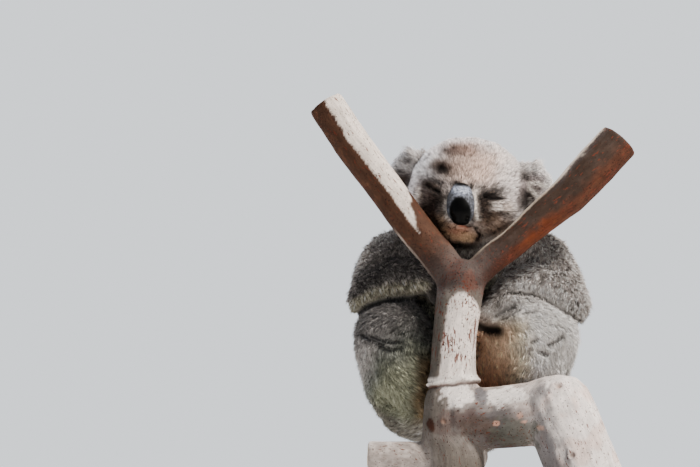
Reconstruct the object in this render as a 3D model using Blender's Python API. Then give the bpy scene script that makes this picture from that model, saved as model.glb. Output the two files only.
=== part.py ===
"""A koala asleep in the fork of a gum tree, life size, on a plain display stand.

The animal faces -Y with its chin in the fork, its arms and legs folded round the stem. X runs to
its left, Z is up, and the origin is the centre of the stand's underside. Every size is taken over
the fur, in millimetres turned to metres by MM.

Each fleshy part is first made whole. It is then cut by the parts that were placed before it, so
that neighbours meet face to face across GAP and never overlap.
"""

import math
from functools import partial

import bmesh
import bpy
from mathutils import Matrix, Vector
from mathutils.bvhtree import BVHTree

MM = 0.001
GAP = 0.5 * MM  # clearance between two touching pieces
SLIVER = 0.07 * MM  # shorter edges are closed up after a cut

X_AXIS = Vector((1, 0, 0))
Y_AXIS = Vector((0, 1, 0))
Z_AXIS = Vector((0, 0, 1))


def at(x, y, z):
    """A place or a direction given in millimetres."""
    return Vector((x, y, z)) * MM


# --- The display stand ---
BASE_RADIUS = 170 * MM
BASE_HEIGHT = 18 * MM
BASE_EDGE = 4 * MM  # chamfer round the top of the base
ROD_RADIUS = 6 * MM
ROD_SPREAD = 17 * MM  # each rod's distance from the stem's axis

# --- The cut fork ---
STEM_FOOT = at(-12, -60, 78)  # centre of the sawn lower end
STEM_RADIUS = 28 * MM  # at its slimmest, under the fork
FORK = at(-1, -60, 384)  # where the two arms part
RIGHT_ARM_TIP = at(-176, -60, 612)
LEFT_ARM_TIP = at(204, -62, 562)
LIMB_RADIUS = 40 * MM
COLLAR_HEIGHT = 252 * MM  # a bark ring on the stem, just over the limb

# --- The head, in its own frame: x to the animal's left, y forward, z up ---
HEAD_CENTRE = at(11, -5, 500)
HEAD_YAW = math.radians(9)  # turned to its right
HEAD_NOD = math.radians(12)  # chin down
HEAD_ROLL = math.radians(8)  # crown leans to its left
HEAD_HALF_WIDTH = 80 * MM
HEAD_BACK = 78 * MM
HEAD_FRONT = 88 * MM
HEAD_TOP = 79 * MM
HEAD_BOTTOM = 62 * MM
HEAD_SQUARENESS = 0.92
HEAD_SECTIONS = [  # share of the way forward, half width, height over, height under, middle
    (-0.96, 0.38, 0.34, 0.40, 0.16),
    (-0.84, 0.60, 0.57, 0.65, 0.14),
    (-0.60, 0.80, 0.80, 0.87, 0.09),
    (-0.30, 0.94, 0.95, 0.97, 0.04),
    (0.02, 1.00, 1.00, 1.00, 0.00),
    (0.24, 0.98, 0.95, 0.98, -0.03),
    (0.42, 0.89, 0.84, 0.89, -0.07),
    (0.58, 0.74, 0.68, 0.74, -0.13),
    (0.72, 0.57, 0.50, 0.54, -0.20),
    (0.85, 0.44, 0.36, 0.37, -0.26),
    (0.95, 0.31, 0.21, 0.23, -0.31),
]
EYE_SPREAD = 38 * MM
LID_RADIUS = 8 * MM
EAR_RADIUS = 38 * MM
EAR_HALF_DEPTH = 16 * MM
EAR_DISH = 14 * MM
EAR_SEAT = at(80, -12, 20)  # centre of the right ear in the head's frame

# --- The torso, from the rump to the base of the neck ---
MIDLINE = 11 * MM
TORSO_HALF_WIDTH = 120 * MM
TORSO_HALF_DEPTH = 100 * MM
TORSO_FOOT = 186 * MM
TORSO_HEIGHT = 282 * MM
BELLY_FRONT = 1 * MM  # the chest's front face lies in this plane
RUMP_BACK = 8 * MM  # the rump sits this much further back

# --- The joints of the limbs, by the animal's own side ---
JOINTS = {
    "right": {
        "shoulder": at(-46, 88, 422),
        "upper_arm": at(-79, 60, 404),
        "elbow": at(-114, 20, 366),
        "forearm": at(-80, 1, 388),
        "wrist": at(-44, -14, 384),
        "hip": at(-46, 105, 246),
        "thigh": at(-66, 54, 268),
        "knee": at(-88, -7, 314),
        "shank": at(-74, -12, 262),
        "ankle": at(-54, -4, 230),
    },
    "left": {
        "shoulder": at(70, 86, 424),
        "upper_arm": at(104, 58, 404),
        "elbow": at(141, 20, 358),
        "forearm": at(96, 2, 384),
        "wrist": at(54, -12, 356),
        "hip": at(66, 105, 246),
        "thigh": at(82, 54, 268),
        "knee": at(91, -7, 316),
        "shank": at(92, -14, 266),
        "ankle": at(80, -4, 244),
    },
}
SHOULDER_RADIUS = 56 * MM
UPPER_ARM_RADIUS = 64 * MM
ELBOW_RADIUS = 38 * MM
FOREARM_RADIUS = 33 * MM
WRIST_RADIUS = 25 * MM
HIP_RADIUS = 69 * MM
THIGH_RADIUS = 65 * MM
KNEE_RADIUS = 56 * MM
KNEE_BREADTH = {"right": 1.0, "left": 1.2}  # the left knee spreads towards the stem
SHANK_RADIUS = 42 * MM
ANKLE_RADIUS = 27 * MM

# --- Hands and feet ---
PALM_HALF_THICKNESS = 11 * MM
PALM_HALF_WIDTH = 25 * MM
SOLE_HALF_WIDTH = 29 * MM
DIGIT_RADIUS = 6.6 * MM
CLAW_LENGTH = 17 * MM
CLAW_RADIUS = 3.2 * MM

COLOURS = {  # base colour, roughness
    "coat": ((0.33, 0.30, 0.28), 0.95),
    "nose_skin": ((0.03, 0.03, 0.035), 0.4),
    "lid_skin": ((0.10, 0.08, 0.07), 0.7),
    "claw_horn": ((0.08, 0.06, 0.05), 0.35),
    "bark": ((0.62, 0.56, 0.50), 0.8),
    "base_wood": ((0.12, 0.07, 0.04), 0.45),
    "rod_steel": ((0.55, 0.55, 0.56), 0.3),
}

cutters = {}  # each placed part, whole and larger by GAP, to cut the parts that follow


# --- Tools ---


def clear_scene():
    for thing in list(bpy.data.objects):
        bpy.data.objects.remove(thing)


def material(name):
    """One plain material for each finish."""
    found = bpy.data.materials.get(name)
    if found:
        return found
    colour, roughness = COLOURS[name]
    made = bpy.data.materials.new(name)
    made.use_nodes = True
    shader = made.node_tree.nodes["Principled BSDF"]
    shader.inputs["Base Color"].default_value = (*colour, 1)
    shader.inputs["Roughness"].default_value = roughness
    shader.inputs["Metallic"].default_value = 1.0 if name == "rod_steel" else 0.0
    return made


def new_object(name, mesh, finish):
    thing = bpy.data.objects.new(name, mesh)
    bpy.context.scene.collection.objects.link(thing)
    mesh.materials.clear()
    mesh.materials.append(material(finish))
    return thing


def mesh_from(build):
    """A mesh holding the bmesh that build(bm) fills, with its faces pointing out."""
    bm = bmesh.new()
    build(bm)
    # A four-sided face of a round form isn't flat, so its diagonal is fixed before any cut.
    bmesh.ops.triangulate(bm, faces=bm.faces, quad_method="FIXED")
    bmesh.ops.recalc_face_normals(bm, faces=bm.faces)
    mesh = bpy.data.meshes.new("solid")
    bm.to_mesh(mesh)
    bm.free()
    mesh.shade_smooth()
    return mesh


def spline(values, t):
    """The Catmull-Rom curve through values, with t from 0 at the first to 1 at the last."""
    last = len(values) - 1
    span = min(int(t * last), last - 1)
    u = t * last - span
    before, start, end, after = (
        Vector(values[max(0, min(last, span + step))]) for step in (-1, 0, 1, 2)
    )
    return 0.5 * (
        2 * start
        + (end - before) * u
        + (2 * before - 5 * start + 4 * end - after) * u**2
        + (3 * start - before - 3 * end + after) * u**3
    )


def add_loops(bm, loops, first_tip, last_tip):
    """Joins loops of points into a closed skin. A tip is a point, or None for a flat end."""
    rows = [[bm.verts.new(point) for point in loop] for loop in loops]
    count = len(rows[0])
    for row, following in zip(rows, rows[1:]):
        for i in range(count):
            j = (i + 1) % count
            bm.faces.new((row[i], row[j], following[j], following[i]))
    for row, tip in ((rows[0], first_tip), (rows[-1], last_tip)):
        if tip is None:
            bm.faces.new(row)
            continue
        pole = bm.verts.new(tip)
        for i in range(count):
            bm.faces.new((row[i], row[(i + 1) % count], pole))


def tube(grow, stations, sides=11, steps=2, across=X_AXIS, domes=(0.9, 0.9), rings=2):
    """A limb-like solid along a smooth curve, with its surface moved out by grow.

    Each station is (centre, half width, half depth); the half width lies along the direction
    across. Each end has a dome of that many rings, as long as its share of the radius there, or
    a flat cut where its dome is 0.
    """
    centres = [station[0] for station in stations]
    sizes = [(station[1] + grow, station[2] + grow, 0) for station in stations]
    count = (len(stations) - 1) * steps
    path = [spline(centres, i / count) for i in range(count + 1)]
    widths = [spline(sizes, i / count) for i in range(count + 1)]
    headings = [
        (path[min(i + 1, count)] - path[max(i - 1, 0)]).normalized() for i in range(count + 1)
    ]
    turns = [2 * math.pi * i / sides for i in range(sides)]

    def loop(centre, heading, width):
        side = (across - across.dot(heading) * heading).normalized()
        up = heading.cross(side)
        return [centre + side * width.x * math.cos(a) + up * width.y * math.sin(a) for a in turns]

    loops = [loop(*place) for place in zip(path, headings, widths)]
    tips = []
    for i, sign, dome in ((0, -1, domes[0]), (count, 1, domes[1])):
        out = headings[i] * sign
        if dome == 0:
            loops[i if i == 0 else -1] = loop(path[i] + out * grow, headings[i], widths[i])
            tips.append(None)
            continue
        reach = min(widths[i].x, widths[i].y) * dome
        for ring in range(1, rings + 1):
            angle = math.radians(90) * ring / (rings + 0.8)
            centre = path[i] + out * reach * math.sin(angle)
            extra = loop(centre, headings[i], widths[i] * math.cos(angle))
            loops.insert(0 if i == 0 else len(loops), extra)
        tips.append(path[i] + out * reach)
    return mesh_from(lambda bm: add_loops(bm, loops, *tips))


def run(mesh, cutter, operation):
    """The mesh after one Boolean with another mesh, without the slivers that the cut leaves."""
    piece = bpy.data.objects.new("piece", mesh)
    other = bpy.data.objects.new("other", cutter)
    for thing in (piece, other):
        bpy.context.scene.collection.objects.link(thing)
    step = piece.modifiers.new("boolean", "BOOLEAN")
    step.operation = operation
    step.solver = "MANIFOLD"  # EXACT loses whole pieces where two round parts nearly touch
    step.object = other
    graph = bpy.context.evaluated_depsgraph_get()
    bm = bmesh.new()
    bm.from_object(piece, graph)
    for thing in (piece, other):
        bpy.data.objects.remove(thing)
    bmesh.ops.remove_doubles(bm, verts=bm.verts, dist=SLIVER)
    bmesh.ops.dissolve_degenerate(bm, edges=bm.edges, dist=SLIVER)
    made = bpy.data.meshes.new("solid")
    bm.to_mesh(made)
    bm.free()
    return made


def union(meshes):
    joined = meshes[0]
    for mesh in meshes[1:]:
        joined = run(joined, mesh, "UNION")
    return joined


def extent(mesh):
    points = [vertex.co for vertex in mesh.vertices]
    low = Vector([min(point[i] for point in points) for i in range(3)])
    high = Vector([max(point[i] for point in points) for i in range(3)])
    return low, high


def far_apart(mesh, other):
    (low, high), (other_low, other_high) = extent(mesh), extent(other)
    return any(low[i] > other_high[i] or other_low[i] > high[i] for i in range(3))


def keep_largest(mesh):
    """Drops the scraps that a cut leaves beside the main body."""
    bm = bmesh.new()
    bm.from_mesh(mesh)
    bm.verts.ensure_lookup_table()
    waiting, islands = set(bm.verts), []
    while waiting:
        island, edge = set(), [waiting.pop()]
        while edge:
            vertex = edge.pop()
            island.add(vertex)
            near = {link.other_vert(vertex) for link in vertex.link_edges} & waiting
            waiting -= near
            edge.extend(near)
        islands.append(island)
    islands.sort(key=len)
    scraps = [vertex for island in islands[:-1] for vertex in island]
    bmesh.ops.delete(bm, geom=scraps, context="VERTS")
    bm.to_mesh(mesh)
    bm.free()


def place(name, build, finish):
    """Adds the part that build(grow) makes, cut clear of every part placed before it."""
    mesh = build(0)
    for cutter in cutters.values():
        if not far_apart(mesh, cutter):
            mesh = run(mesh, cutter, "DIFFERENCE")
    keep_largest(mesh)
    mesh.shade_smooth()
    mesh.set_sharp_from_angle(angle=math.radians(40))
    cutters[name] = build(GAP)
    return new_object(name, mesh, finish)


# --- The stand ---


def base_mesh(grow):
    sides = 28
    radius, height = BASE_RADIUS + grow, BASE_HEIGHT + grow
    profile = [(radius, -grow), (radius, height - BASE_EDGE), (radius - BASE_EDGE, height)]
    turns = [2 * math.pi * i / sides for i in range(sides)]
    loops = [[Vector((r * math.cos(a), r * math.sin(a), z)) for a in turns] for r, z in profile]
    return mesh_from(lambda bm: add_loops(bm, loops, None, None))


def rod_mesh(grow, side):
    foot = STEM_FOOT + X_AXIS * ROD_SPREAD * side
    foot.z = BASE_HEIGHT + GAP
    head = foot.copy()
    head.z = STEM_FOOT.z - GAP
    stations = [(foot, ROD_RADIUS, ROD_RADIUS), (head, ROD_RADIUS, ROD_RADIUS)]
    return tube(grow, stations, sides=12, steps=1, domes=(0, 0))


def make_stand():
    """A round wooden base, and two steel rods up to the sawn end of the stem."""
    place("stand_base", base_mesh, "base_wood")
    place("stand_rod_right", lambda grow: rod_mesh(grow, -1), "rod_steel")
    place("stand_rod_left", lambda grow: rod_mesh(grow, 1), "rod_steel")


# --- The fork ---


def place_branch(name, centres, radii, steps=1, domes=(0, 0)):
    """A bare length of the fork, with sawn ends unless they are domed."""
    stations = [(centre, radius, radius) for centre, radius in zip(centres, radii)]
    across = X_AXIS + Y_AXIS
    place(name, lambda grow: tube(grow, stations, 12, steps, across, domes), "bark")


def make_fork():
    """The stem, its two upper arms, the bent limb, a side stub and the limb sat on."""
    collar = at(-14, -60, 0) + Z_AXIS * COLLAR_HEIGHT
    slim = STEM_RADIUS
    place_branch(
        "fork_stem",
        [STEM_FOOT, at(-13, -60, 130), at(-17, -60, 180), at(-17, -60, 226),
         collar - Z_AXIS * 7 * MM, collar, collar + Z_AXIS * 8 * MM, at(-11, -60, 312),
         at(-5, -60, 356), FORK, FORK + at(3, 0, 20)],
        [1.42 * slim, 1.4 * slim, 1.34 * slim, 1.2 * slim, 1.06 * slim, 1.2 * slim,
         1.04 * slim, slim, 1.06 * slim, 1.12 * slim, 0.7 * slim],
    )
    place_branch(
        "fork_arm_right",
        [FORK + at(6, 0, -24), at(-36, -60, 416), at(-68, -60, 456), at(-101, -60, 502),
         at(-143, -60, 560), RIGHT_ARM_TIP],
        [22 * MM, 23 * MM, 23 * MM, 23 * MM, 24 * MM, 23.5 * MM],
    )
    place_branch(
        "fork_arm_left",
        [FORK + at(-4, 0, -18), at(34, -60, 404), at(68, -60, 430), at(98, -60, 457),
         at(136, -61, 488), at(170, -62, 524), LEFT_ARM_TIP],
        [20 * MM, 18.5 * MM, 18.5 * MM, 21 * MM, 25 * MM, 27 * MM, 27 * MM],
    )
    place_branch(
        "fork_bend",
        [at(110, -92, 222), at(124, -100, 186), at(138, -108, 146), at(148, -112, 112)],
        [44 * MM, 45 * MM, 45 * MM, 46 * MM],
        domes=(0.72, 0),
    )
    place_branch(
        "fork_limb",
        [at(-14, -64, 204), at(36, -68, 204), at(84, -80, 208), at(112, -90, 216)],
        [0.94 * LIMB_RADIUS, 0.96 * LIMB_RADIUS, LIMB_RADIUS, 1.04 * LIMB_RADIUS],
    )
    place_branch(
        "fork_seat",
        [at(-14, -52, 146), at(-4, 0, 156), at(8, 60, 160), at(16, 110, 166), at(20, 146, 172)],
        [36 * MM, 32 * MM, 29 * MM, 27 * MM, 26 * MM],
    )
    place_branch(
        "fork_stub",
        [at(-20, -60, 146), at(-68, -59, 156), at(-122, -58, 158)],
        [22 * MM, 19 * MM, 18 * MM],
    )


# --- The head ---


def head_frame():
    """The head's own frame: x to the animal's right, y forward, z up."""
    turn = (
        Matrix.Rotation(math.pi - HEAD_YAW, 4, "Z")
        @ Matrix.Rotation(-HEAD_NOD, 4, "X")
        @ Matrix.Rotation(-HEAD_ROLL, 4, "Y")
    )
    return Matrix.Translation(HEAD_CENTRE) @ turn


def head_loop(forward, half_width, over, under, lift):
    """One cross-section of the head: over and under are its heights about the middle, lift."""
    sides = 16
    points = []
    for i in range(sides):
        angle = 2 * math.pi * i / sides
        side, up = math.cos(angle), math.sin(angle)
        height = over if up > 0 else under
        points.append(Vector((
            half_width * math.copysign(abs(side) ** HEAD_SQUARENESS, side),
            forward,
            lift + height * math.copysign(abs(up) ** HEAD_SQUARENESS, up),
        )))
    return points


def head_mesh(grow, frame):
    """Cranium, brow, cheeks and muzzle as one form, from the nape to the lips."""
    count = len(HEAD_SECTIONS) - 1
    loops = []
    for i in range(count + 1):
        share, wide, over, under, lift = HEAD_SECTIONS[i]
        forward = share * (HEAD_FRONT if share > 0 else HEAD_BACK)
        loop = head_loop(forward, wide * HEAD_HALF_WIDTH + grow, over * HEAD_TOP + grow,
                         under * HEAD_BOTTOM + grow, lift * HEAD_TOP)
        loops.append([frame @ point for point in loop])
    nape = frame @ Vector((0, -HEAD_BACK - grow, 0.16 * HEAD_TOP))
    lips = frame @ Vector((0, HEAD_FRONT + grow, -0.33 * HEAD_TOP))
    return mesh_from(lambda bm: add_loops(bm, loops, nape, lips))


def on_face(frame, x, z):
    """The place on the face that lies straight ahead of the head's own (x, z)."""
    tree = BVHTree.FromPolygons(*polygons_of(head_mesh(0, frame)))
    start = frame @ Vector((x, 2 * HEAD_FRONT, z))
    return tree.ray_cast(start, frame.to_3x3() @ -Y_AXIS)[0]


def polygons_of(mesh):
    points = [vertex.co for vertex in mesh.vertices]
    return points, [face.vertices[:] for face in mesh.polygons]


def nose_mesh(grow, frame):
    """The long bare nose pad, narrow between the eyes and full over the lips."""
    stations = [(at(0, 60, 14), 8 * MM, 7 * MM), (at(0, 71, 3), 13 * MM, 10 * MM),
                (at(0, 79, -13), 16 * MM, 12 * MM), (at(0, 80, -28), 14.5 * MM, 12 * MM)]
    return tube(grow, [(frame @ c, w, d) for c, w, d in stations], sides=10,
                steps=1, across=frame.to_3x3() @ X_AXIS, domes=(0.8, 0.8), rings=1)


def jaw_mesh(grow, frame):
    """The lower jaw, from the throat to the chin."""
    stations = [(at(0, -4, -52), 40 * MM, 20 * MM), (at(0, 26, -54), 35 * MM, 18 * MM),
                (at(0, 54, -54), 26 * MM, 15 * MM)]
    return tube(grow, [(frame @ c, w, d) for c, w, d in stations], steps=1,
                across=frame.to_3x3() @ X_AXIS)


def lid_mesh(grow, frame, side):
    """The closed lids over one eye: a low mound, wider than it is tall."""
    inner = on_face(frame, side * (EYE_SPREAD - 6 * MM), -1 * MM)
    outer = on_face(frame, side * (EYE_SPREAD + 6 * MM), 2 * MM)
    sink = frame.to_3x3() @ Y_AXIS * -LID_RADIUS * 0.55
    stations = [(point + sink, LID_RADIUS, LID_RADIUS) for point in (inner, outer)]
    return tube(grow, stations, sides=8, steps=1, across=frame.to_3x3() @ Z_AXIS, rings=1)


def ear_mesh(grow, frame, side):
    """A round furry ear, dished in front, standing out from the side of the crown."""
    turn = Matrix.Rotation(side * math.radians(-28), 4, "Z") @ Matrix.Rotation(
        side * math.radians(20), 4, "Y")
    seat = frame @ Matrix.Translation(EAR_SEAT * Vector((side, 1, 1))) @ turn

    def dish(bm):
        bmesh.ops.create_uvsphere(bm, u_segments=12, v_segments=7, radius=1)
        bmesh.ops.rotate(bm, verts=bm.verts, matrix=Matrix.Rotation(math.pi / 2, 3, "X"))
        for vertex in bm.verts:
            x, y, z = vertex.co
            rim = min(1, x * x + z * z)
            depth = (EAR_HALF_DEPTH + grow) * y
            if y > 0:
                depth -= EAR_DISH * (1 - rim) ** 1.5
            reach = EAR_RADIUS + grow
            vertex.co = seat @ Vector((x * reach, depth, z * reach * 0.95))

    return mesh_from(dish)


# --- Torso and limbs ---


def torso_mesh(grow):
    """The hunched body: broad at the belly, round in the back, narrow at the neck."""
    sections = [  # share of the height, half width, half depth
        (0.04, 0.50, 0.50), (0.16, 0.80, 0.80), (0.34, 0.97, 0.97), (0.54, 1.00, 1.00),
        (0.74, 0.92, 0.89), (0.90, 0.72, 0.68),
    ]
    stations = []
    for share, wide, deep in sections:
        centre = Vector((
            MIDLINE,
            BELLY_FRONT + deep * TORSO_HALF_DEPTH + RUMP_BACK * (1 - share),
            TORSO_FOOT + share * TORSO_HEIGHT,
        ))
        stations.append((centre, wide * TORSO_HALF_WIDTH, deep * TORSO_HALF_DEPTH))
    return tube(grow, stations, sides=16, domes=(0.45, 0.6), rings=1)


def neck_mesh(grow):
    stations = [(at(12, 84, 424), 80 * MM, 60 * MM), (at(12, 60, 460), 80 * MM, 62 * MM),
                (at(13, 30, 494), 70 * MM, 56 * MM)]
    return tube(grow, stations, sides=12, steps=1, domes=(0.5, 0.5))


def limb_mesh(grow, side, *stations):
    """A length of an arm or a leg, through the named joints with their radii."""
    joints = JOINTS[side]
    breadths = {"knee": KNEE_BREADTH[side]}
    return tube(grow, [
        (joints[name], breadths.get(name, 1) * radius, radius) for name, radius in stations
    ])


LIMBS = {  # each part of a limb by its joints and its radius at each
    "thigh": (("hip", HIP_RADIUS), ("thigh", THIGH_RADIUS), ("knee", KNEE_RADIUS)),
    "shank": (("knee", 0.8 * KNEE_RADIUS), ("shank", SHANK_RADIUS), ("ankle", ANKLE_RADIUS)),
    "upper_arm": (("shoulder", SHOULDER_RADIUS), ("upper_arm", UPPER_ARM_RADIUS),
                  ("elbow", ELBOW_RADIUS)),
    "forearm": (("elbow", 0.92 * ELBOW_RADIUS), ("forearm", FOREARM_RADIUS),
                ("wrist", WRIST_RADIUS)),
}


# --- Hands and feet, each closed round the branch that it grips ---


def grip_point(grip, angle, along, out):
    """A point beside the gripped branch: an angle round its axis, a way along it, a way out."""
    centre, axis, zero, radius = grip
    ninety = axis.cross(zero)
    around = zero * math.cos(angle) + ninety * math.sin(angle)
    return centre + axis * along + around * (radius + out)


GRIPS = {  # centre on the branch's axis, axis, direction of angle 0, branch radius, palm angle
    "hand_right": (at(-4, -60, 362), Z_AXIS, X_AXIS, 31 * MM, 100),
    "hand_left": (at(-10, -60, 318), Z_AXIS, X_AXIS, 29 * MM, 80),
    "foot_right": (at(-17, -60, 230), Z_AXIS, X_AXIS, 35 * MM, 124),
    "foot_left": (at(66, -74, 206), X_AXIS, Y_AXIS, 41 * MM, -6),
}
FINGER_WRAP = 32  # degrees that a finger reaches round a branch of WRAP_RADIUS
THUMB_WRAP = 16
TOE_WRAP = 20  # the clawless first toe is shorter than the others
WRAP_RADIUS = 32 * MM


def digit_paths(name):
    """For each digit its points round the branch: fingers one way, thumbs the other."""
    *grip, palm = GRIPS[name]
    inward = -1 if name.endswith("right") else 1
    digits = []
    if name.startswith("hand"):
        spots = [("finger", -14), ("finger", 0), ("finger", 14), ("thumb", -9), ("thumb", 9)]
    else:
        spots = [("finger", -21), ("finger", -7), ("finger", 7), ("finger", 21), ("toe", -12)]
    wraps = {"finger": FINGER_WRAP, "thumb": THUMB_WRAP, "toe": TOE_WRAP}
    for kind, along in spots:
        way = inward if kind == "finger" else -inward
        reach = wraps[kind] * WRAP_RADIUS / grip[3]
        turns = [palm + way * (8 + reach * share) for share in (0, 0.5, 1)]
        outs = (9 * MM, 10 * MM, 8 * MM)
        points = [
            grip_point(grip, math.radians(turn), along * MM, out)
            for turn, out in zip(turns, outs)
        ]
        digits.append((kind, way, turns[-1], along * MM, points))
    return grip, palm, digits


def paw_mesh(grow, name, joint_end):
    """Palm or sole with its digits, joined to the wrist or ankle."""
    grip, palm, digits = digit_paths(name)
    heart = grip_point(grip, math.radians(palm), 0, PALM_HALF_THICKNESS + 1 * MM)
    wrist = joint_end.lerp(heart, 0.3)
    broad = PALM_HALF_WIDTH if name.startswith("hand") else SOLE_HALF_WIDTH
    stations = [(wrist, 0.85 * broad, 1.5 * PALM_HALF_THICKNESS),
                (wrist.lerp(heart, 0.6), broad, 1.25 * PALM_HALF_THICKNESS),
                (heart, broad, PALM_HALF_THICKNESS)]
    pieces = [tube(grow, stations, sides=8, steps=1, across=grip[1], domes=(0.9, 1), rings=1)]
    for digit in digits:
        radii = (1.15 * DIGIT_RADIUS, DIGIT_RADIUS, 0.8 * DIGIT_RADIUS)
        stations = [(point, radius, radius) for point, radius in zip(digit[-1], radii)]
        pieces.append(tube(grow, stations, 5, 1, grip[1], domes=(0, 0.9), rings=1))
    return union(pieces)


def claw_mesh(grow, grip, spot):
    """One long claw, curving in to the bark from the end of its digit."""
    way, turn, along = spot
    sweep = math.degrees(CLAW_LENGTH / grip[3])
    stations = []
    for share in (0, 0.5, 1):
        angle = math.radians(turn + way * sweep * share)
        out = (7.4 - 5.2 * share + 4 * share * (1 - share)) * MM
        thick = CLAW_RADIUS * (1 - 0.72 * share)
        stations.append((grip_point(grip, angle, along, out), 0.8 * thick, thick))
    return tube(grow, stations, sides=4, steps=1, across=grip[1], domes=(0, 0))


def make_paws():
    for name in GRIPS:
        limb, side = name.split("_")
        end = JOINTS[side]["wrist" if limb == "hand" else "ankle"]
        grip, _, digits = digit_paths(name)
        clawed = [digit[1:4] for digit in digits if digit[0] != "toe"]
        for number, spot in enumerate(clawed, 1):
            place(f"claw_{name}_{number}", partial(claw_mesh, grip=grip, spot=spot), "claw_horn")
        place(name, partial(paw_mesh, name=name, joint_end=end), "coat")


def make_koala():
    frame = head_frame()
    sides = (("right", 1), ("left", -1))
    place("nose", partial(nose_mesh, frame=frame), "nose_skin")
    for name, side in sides:
        place(f"eyelids_{name}", partial(lid_mesh, frame=frame, side=side), "lid_skin")
    place("head", partial(head_mesh, frame=frame), "coat")
    place("jaw", partial(jaw_mesh, frame=frame), "coat")
    for name, side in sides:
        place(f"ear_{name}", partial(ear_mesh, frame=frame, side=side), "coat")
    make_paws()
    place("neck", neck_mesh, "coat")
    place("torso", torso_mesh, "coat")
    for side, _ in sides:
        for limb, stations in LIMBS.items():
            place(f"{limb}_{side}", lambda grow: limb_mesh(grow, side, *stations), "coat")


clear_scene()
make_stand()
make_fork()
make_koala()
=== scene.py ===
"""A koala asleep in the fork of a gum tree: its skin, coat, bare parts, perch and stand.

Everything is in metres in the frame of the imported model. The koala faces -Y, X runs to its left
and Z is up. The skin is one mesh, made from copies of the flesh nodes and drawn in by the depth
of the coat. It carries what the coat reads at each root: colours, lie, depth and contrast.
"""

import math

import bmesh
import bpy
import numpy as np
from bpy.props import FloatProperty, FloatVectorProperty, IntProperty, PointerProperty
from mathutils import Matrix, Vector, noise
from mathutils.bvhtree import BVHTree
from mathutils.kdtree import KDTree


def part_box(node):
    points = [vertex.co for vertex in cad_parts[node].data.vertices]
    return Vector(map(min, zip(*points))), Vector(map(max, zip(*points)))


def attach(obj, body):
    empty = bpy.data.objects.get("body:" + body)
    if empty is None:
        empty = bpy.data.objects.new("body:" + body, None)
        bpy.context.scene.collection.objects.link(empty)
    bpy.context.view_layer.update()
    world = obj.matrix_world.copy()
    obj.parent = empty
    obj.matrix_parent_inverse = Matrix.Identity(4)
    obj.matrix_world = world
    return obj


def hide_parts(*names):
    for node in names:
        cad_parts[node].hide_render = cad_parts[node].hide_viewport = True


bl_info = {
    "name": "Sleeping koala",
    "version": (1, 0, 0),
    "blender": (4, 5, 0),
    "location": "View3D > Sidebar > Koala",
    "description": "Dresses the packed koala with skin, coat, bark and stand",
    "category": "Object",
}

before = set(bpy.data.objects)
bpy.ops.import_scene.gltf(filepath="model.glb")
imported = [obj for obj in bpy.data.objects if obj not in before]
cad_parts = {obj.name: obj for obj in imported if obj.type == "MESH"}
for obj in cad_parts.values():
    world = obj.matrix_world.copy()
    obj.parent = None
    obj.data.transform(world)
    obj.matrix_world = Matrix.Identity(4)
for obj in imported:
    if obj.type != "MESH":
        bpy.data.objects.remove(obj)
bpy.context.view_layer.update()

MM = 0.001

FLESH = [
    name for name in sorted(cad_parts)
    if name.split("_")[0] not in ("stand", "fork", "claw", "nose", "eyelids")
]
PERCH = [name for name in sorted(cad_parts) if name.startswith("fork_")]
PAWS = ("hand_right", "hand_left", "foot_right", "foot_left")

# The head's own frame: x to the animal's right, y forward, z up, in millimetres.
HEAD_CENTRE = (11, -5, 500)
HEAD_YAW = 9
HEAD_NOD = 12
HEAD_ROLL = 8

EYES = {  # inner and outer corner of each closed eye, as x and z in the head's frame
    "right": ((30, 1), (49, 9)),
    "left": ((-26, 2), (-49, 2)),
}


def linear(hex_colour):
    """An sRGB hex colour as linear red, green and blue."""
    parts = [int(hex_colour[i:i + 2], 16) / 255 for i in (1, 3, 5)]
    return tuple(c / 12.92 if c <= 0.04045 else ((c + 0.055) / 1.055) ** 2.4 for c in parts)


def tint(name, description, hex_colour):
    """A colour setting."""
    return FloatVectorProperty(
        name=name, description=description, subtype="COLOR", default=linear(hex_colour))


# --- Settings ---


class KoalaCoat(bpy.types.PropertyGroup):
    """The coat's length, its tufts and its colours"""

    body_depth: FloatProperty(
        name="Body coat depth", description="From the skin to the tips on the body",
        default=0.0058, min=0.003, max=0.02, unit="LENGTH")
    face_depth: FloatProperty(
        name="Face coat depth", description="From the skin to the tips on the face",
        default=0.0031, min=0.001, max=0.01, unit="LENGTH")
    body_tufts: IntProperty(
        name="Body tufts", description="Straight tufts over the trunk and limbs", default=182000)
    guard_hairs: IntProperty(
        name="Guard hairs", description="Curved tufts that break the outline", default=16500)
    face_tufts: IntProperty(
        name="Head tufts", description="Short straight tufts over the head", default=98000)
    back: tint("Back", "Tips on the shoulders and back", "#e6ddd7")
    flank: tint("Flank", "Tips on the thighs and flanks", "#f6f3f0")
    cream: tint("Cream", "Tips on the belly, rump and inner arms", "#b4b69d")
    tan: tint("Tan", "Stained fur of the lower belly", "#dea987")
    face: tint("Face", "Tips on the head", "#ccc4c1")
    brow: tint("Brow", "Warm middle of the forehead", "#b49b8d")


class KoalaPerch(bpy.types.PropertyGroup):
    """The fork's mesh and the colours of its bark"""

    voxel: FloatProperty(
        name="Bark grid", description="Size of the bark mesh's cells", default=0.0025,
        min=0.0015, max=0.006, unit="LENGTH")
    pale: tint("Pale bark", "Fresh smooth bark", "#ddd2ca")
    grey: tint("Grey bark", "Weathered smooth bark", "#8d827b")
    rust: tint("Rust", "Stain on the left arm's lower side", "#5f2d16")


# --- Tools ---


def set_sockets(node, values=(), links=()):
    """Sets a node's inputs. A link from a node comes from its first output in use."""
    for socket, value in dict(values).items():
        node.inputs[socket].default_value = value
    for socket, source in dict(links).items():
        if isinstance(source, bpy.types.Node):
            source = next(output for output in source.outputs if output.enabled)
        node.id_data.links.new(source, node.inputs[socket])


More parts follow.
